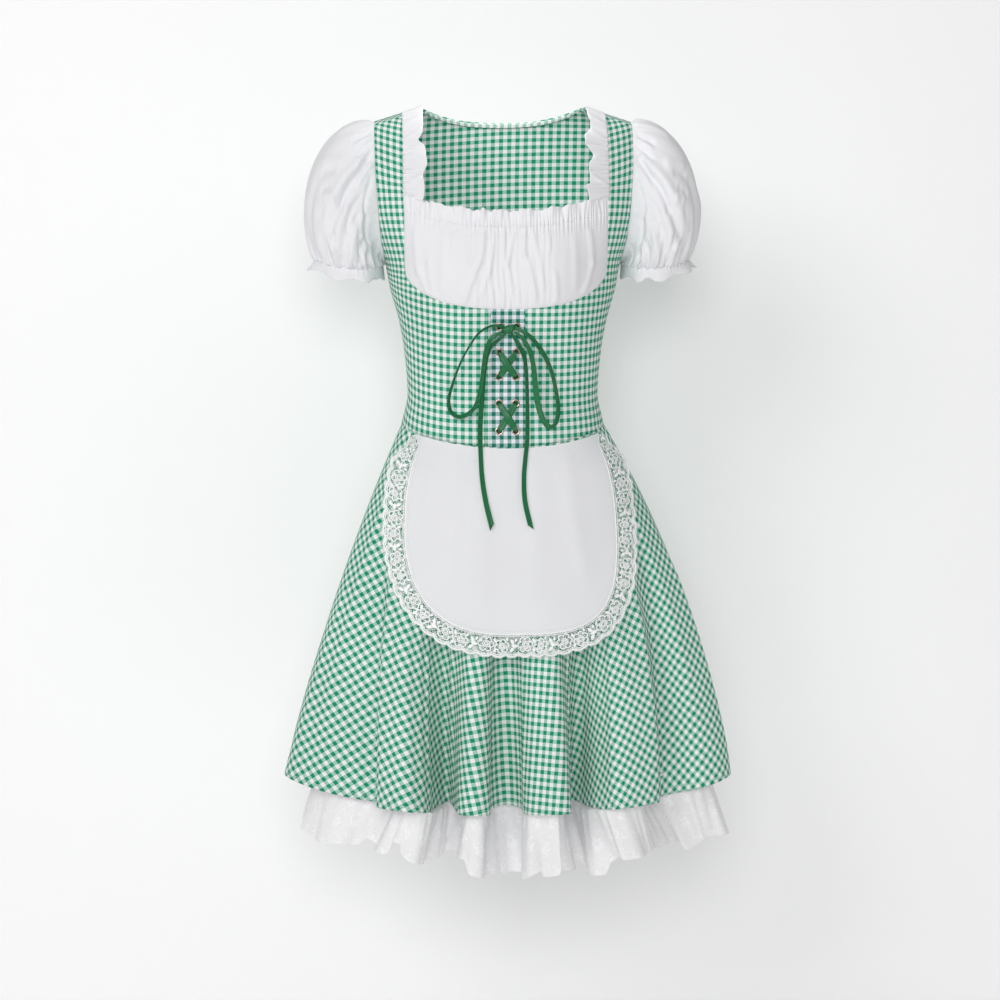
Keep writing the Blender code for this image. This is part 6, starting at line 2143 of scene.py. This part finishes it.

# %% [markdown]
# ## What each piece was cut from
# A sheet of cloth has a flat size before it is sewn. The flat maps hold it, so the sizes are read
# from there and printed for each piece. The table also lists how each is held, what it hangs from
# or lies on, and what is sewn on it.

# %% Cut sizes
FRONT_NODES = ["bodice_front_left", "bodice_front_right"]
HELD = (
    # piece, held, hangs from or lies on, what is sewn on it; a row with {} is for left and right
    ("gingham_back", "stretched", FRONT_NODES, ["gingham_neck_binding", "stitches_neck_binding"]),
    ("gingham_front_{}", "stretched", ["bodice_back"], ["stitches_panel_{}"]),
    ("gingham_centre_panel", "stretched", FRONT_NODES, []),
    ("cotton_bust_panel", "gathered", FRONT_NODES,
     ["stitches_bust_elastic_1", "stitches_bust_elastic_2"]),
    ("cotton_header_frill", "gathered", ["bib"], []),
    ("cotton_strap_ruffle_{}", "gathered", ["bodice_front_{}"], ["stitches_strap_{}"]),
    ("cotton_sleeve_{}", "gathered", ["bodice_front_{}", "bodice_back"], ["stitches_cuff_{}"]),
    ("cotton_cuff_frill_{}", "gathered", ["sleeve_{}"], []),
    ("gingham_skirt_front", "hung", FRONT_NODES, ["stitches_hem_front"]),
    ("gingham_skirt_back", "hung", ["bodice_back"], ["stitches_hem_back"]),
    ("tulle_flounce_front", "gathered", ["skirt_front"], []),
    ("tulle_flounce_back", "gathered", ["skirt_back"], []),
    ("cotton_apron", "hung", FRONT_NODES, ["lace_edging", "stitches_apron_edge"]),
)
for name, held, rests_on, sewn_on in HELD:
    for word in ("left", "right") if "{}" in name else ("",):
        declare_sheet(bpy.data.objects[name.format(word)])

# %% [markdown]
# ## The stage
# A pale floor and a pale wall behind, joined by a curve so that no line shows between them. The
# wall can be looked through from behind, which leaves the dress in view from every side. One
# large soft lamp stands up to the left in front, a smaller one shines from almost straight ahead,
# a weak one lights the inside of the back, and an even pale sky does the rest.

# %% Floor and backdrop
FLOOR = -1.4
WALL_AT = 0.38
WALL_ROUND = 0.15
STAGE_HALF = 3.4
STAGE_FRONT = -3.6
WALL_TOP = 2.3


def backdrop_finish():
    """Matt paper with a faint mottle; seen through from behind."""
    paper = Finish("backdrop_paper", None, 0.95, in_space=True, Emission_Strength=0.15)
    tone = paper.blend(paper.noise(paper.place, 1.6), (0.865, 0.865, 0.865, 1.0),
                       (0.875, 0.875, 0.875, 1.0))
    paper.put("Base Color", tone)
    paper.put("Emission Color", tone)
    either = paper.feed_all(paper.node("ShaderNodeMixShader"), (
        paper.node("ShaderNodeNewGeometry").outputs["Backfacing"], paper.shader.outputs[0],
        paper.node("ShaderNodeBsdfTransparent").outputs[0]))
    paper.feed(paper.tree.nodes["Material Output"].inputs[0], either)
    return paper.material


def make_backdrop():
    turn = np.linspace(0, math.pi / 2, 17)
    y = np.concatenate(([STAGE_FRONT], WALL_AT - WALL_ROUND + WALL_ROUND * np.sin(turn),
                        [WALL_AT]))
    z = np.concatenate(([FLOOR], FLOOR + WALL_ROUND - WALL_ROUND * np.cos(turn), [WALL_TOP]))
    points = join([[-STAGE_HALF], [STAGE_HALF]], y, z)
    piece = add_object("backdrop", grid_mesh("backdrop", points[::-1]))
    piece.data.materials.append(backdrop_finish())


make_backdrop()
print("stage: floor at", FLOOR)

# %% Light
def area_light(name, place, size, watts, target=CAMERA_AIM):
    data = bpy.data.lights.new(name, "AREA")
    data.shape = "DISK"
    data.size = size
    data.energy = watts
    light = bpy.data.objects.new(name, data)
    scene.collection.objects.link(light)
    light.location = place
    light.rotation_euler = (Vector(target) - Vector(place)).to_track_quat("-Z", "Y").to_euler()
    return light


def make_sky(level):
    world = bpy.data.worlds.new("studio")
    world.use_nodes = True
    world.node_tree.nodes["Background"].inputs["Color"].default_value = (1.0, 1.0, 1.0, 1.0)
    world.node_tree.nodes["Background"].inputs["Strength"].default_value = level
    scene.world = world


make_sky(0.35)
area_light("key", (-1.6, -2.6, 1.1), 1.5, 28.5)
area_light("front", (-0.25, -3.3, 0.4), 1.0, 37.0)
inner = area_light("inside", (0.0, -0.07, 0.075), 0.16, 0.22, (0.0, 0.085, -0.12))
inner.visible_camera = False
scene.view_settings.view_transform = "Standard"
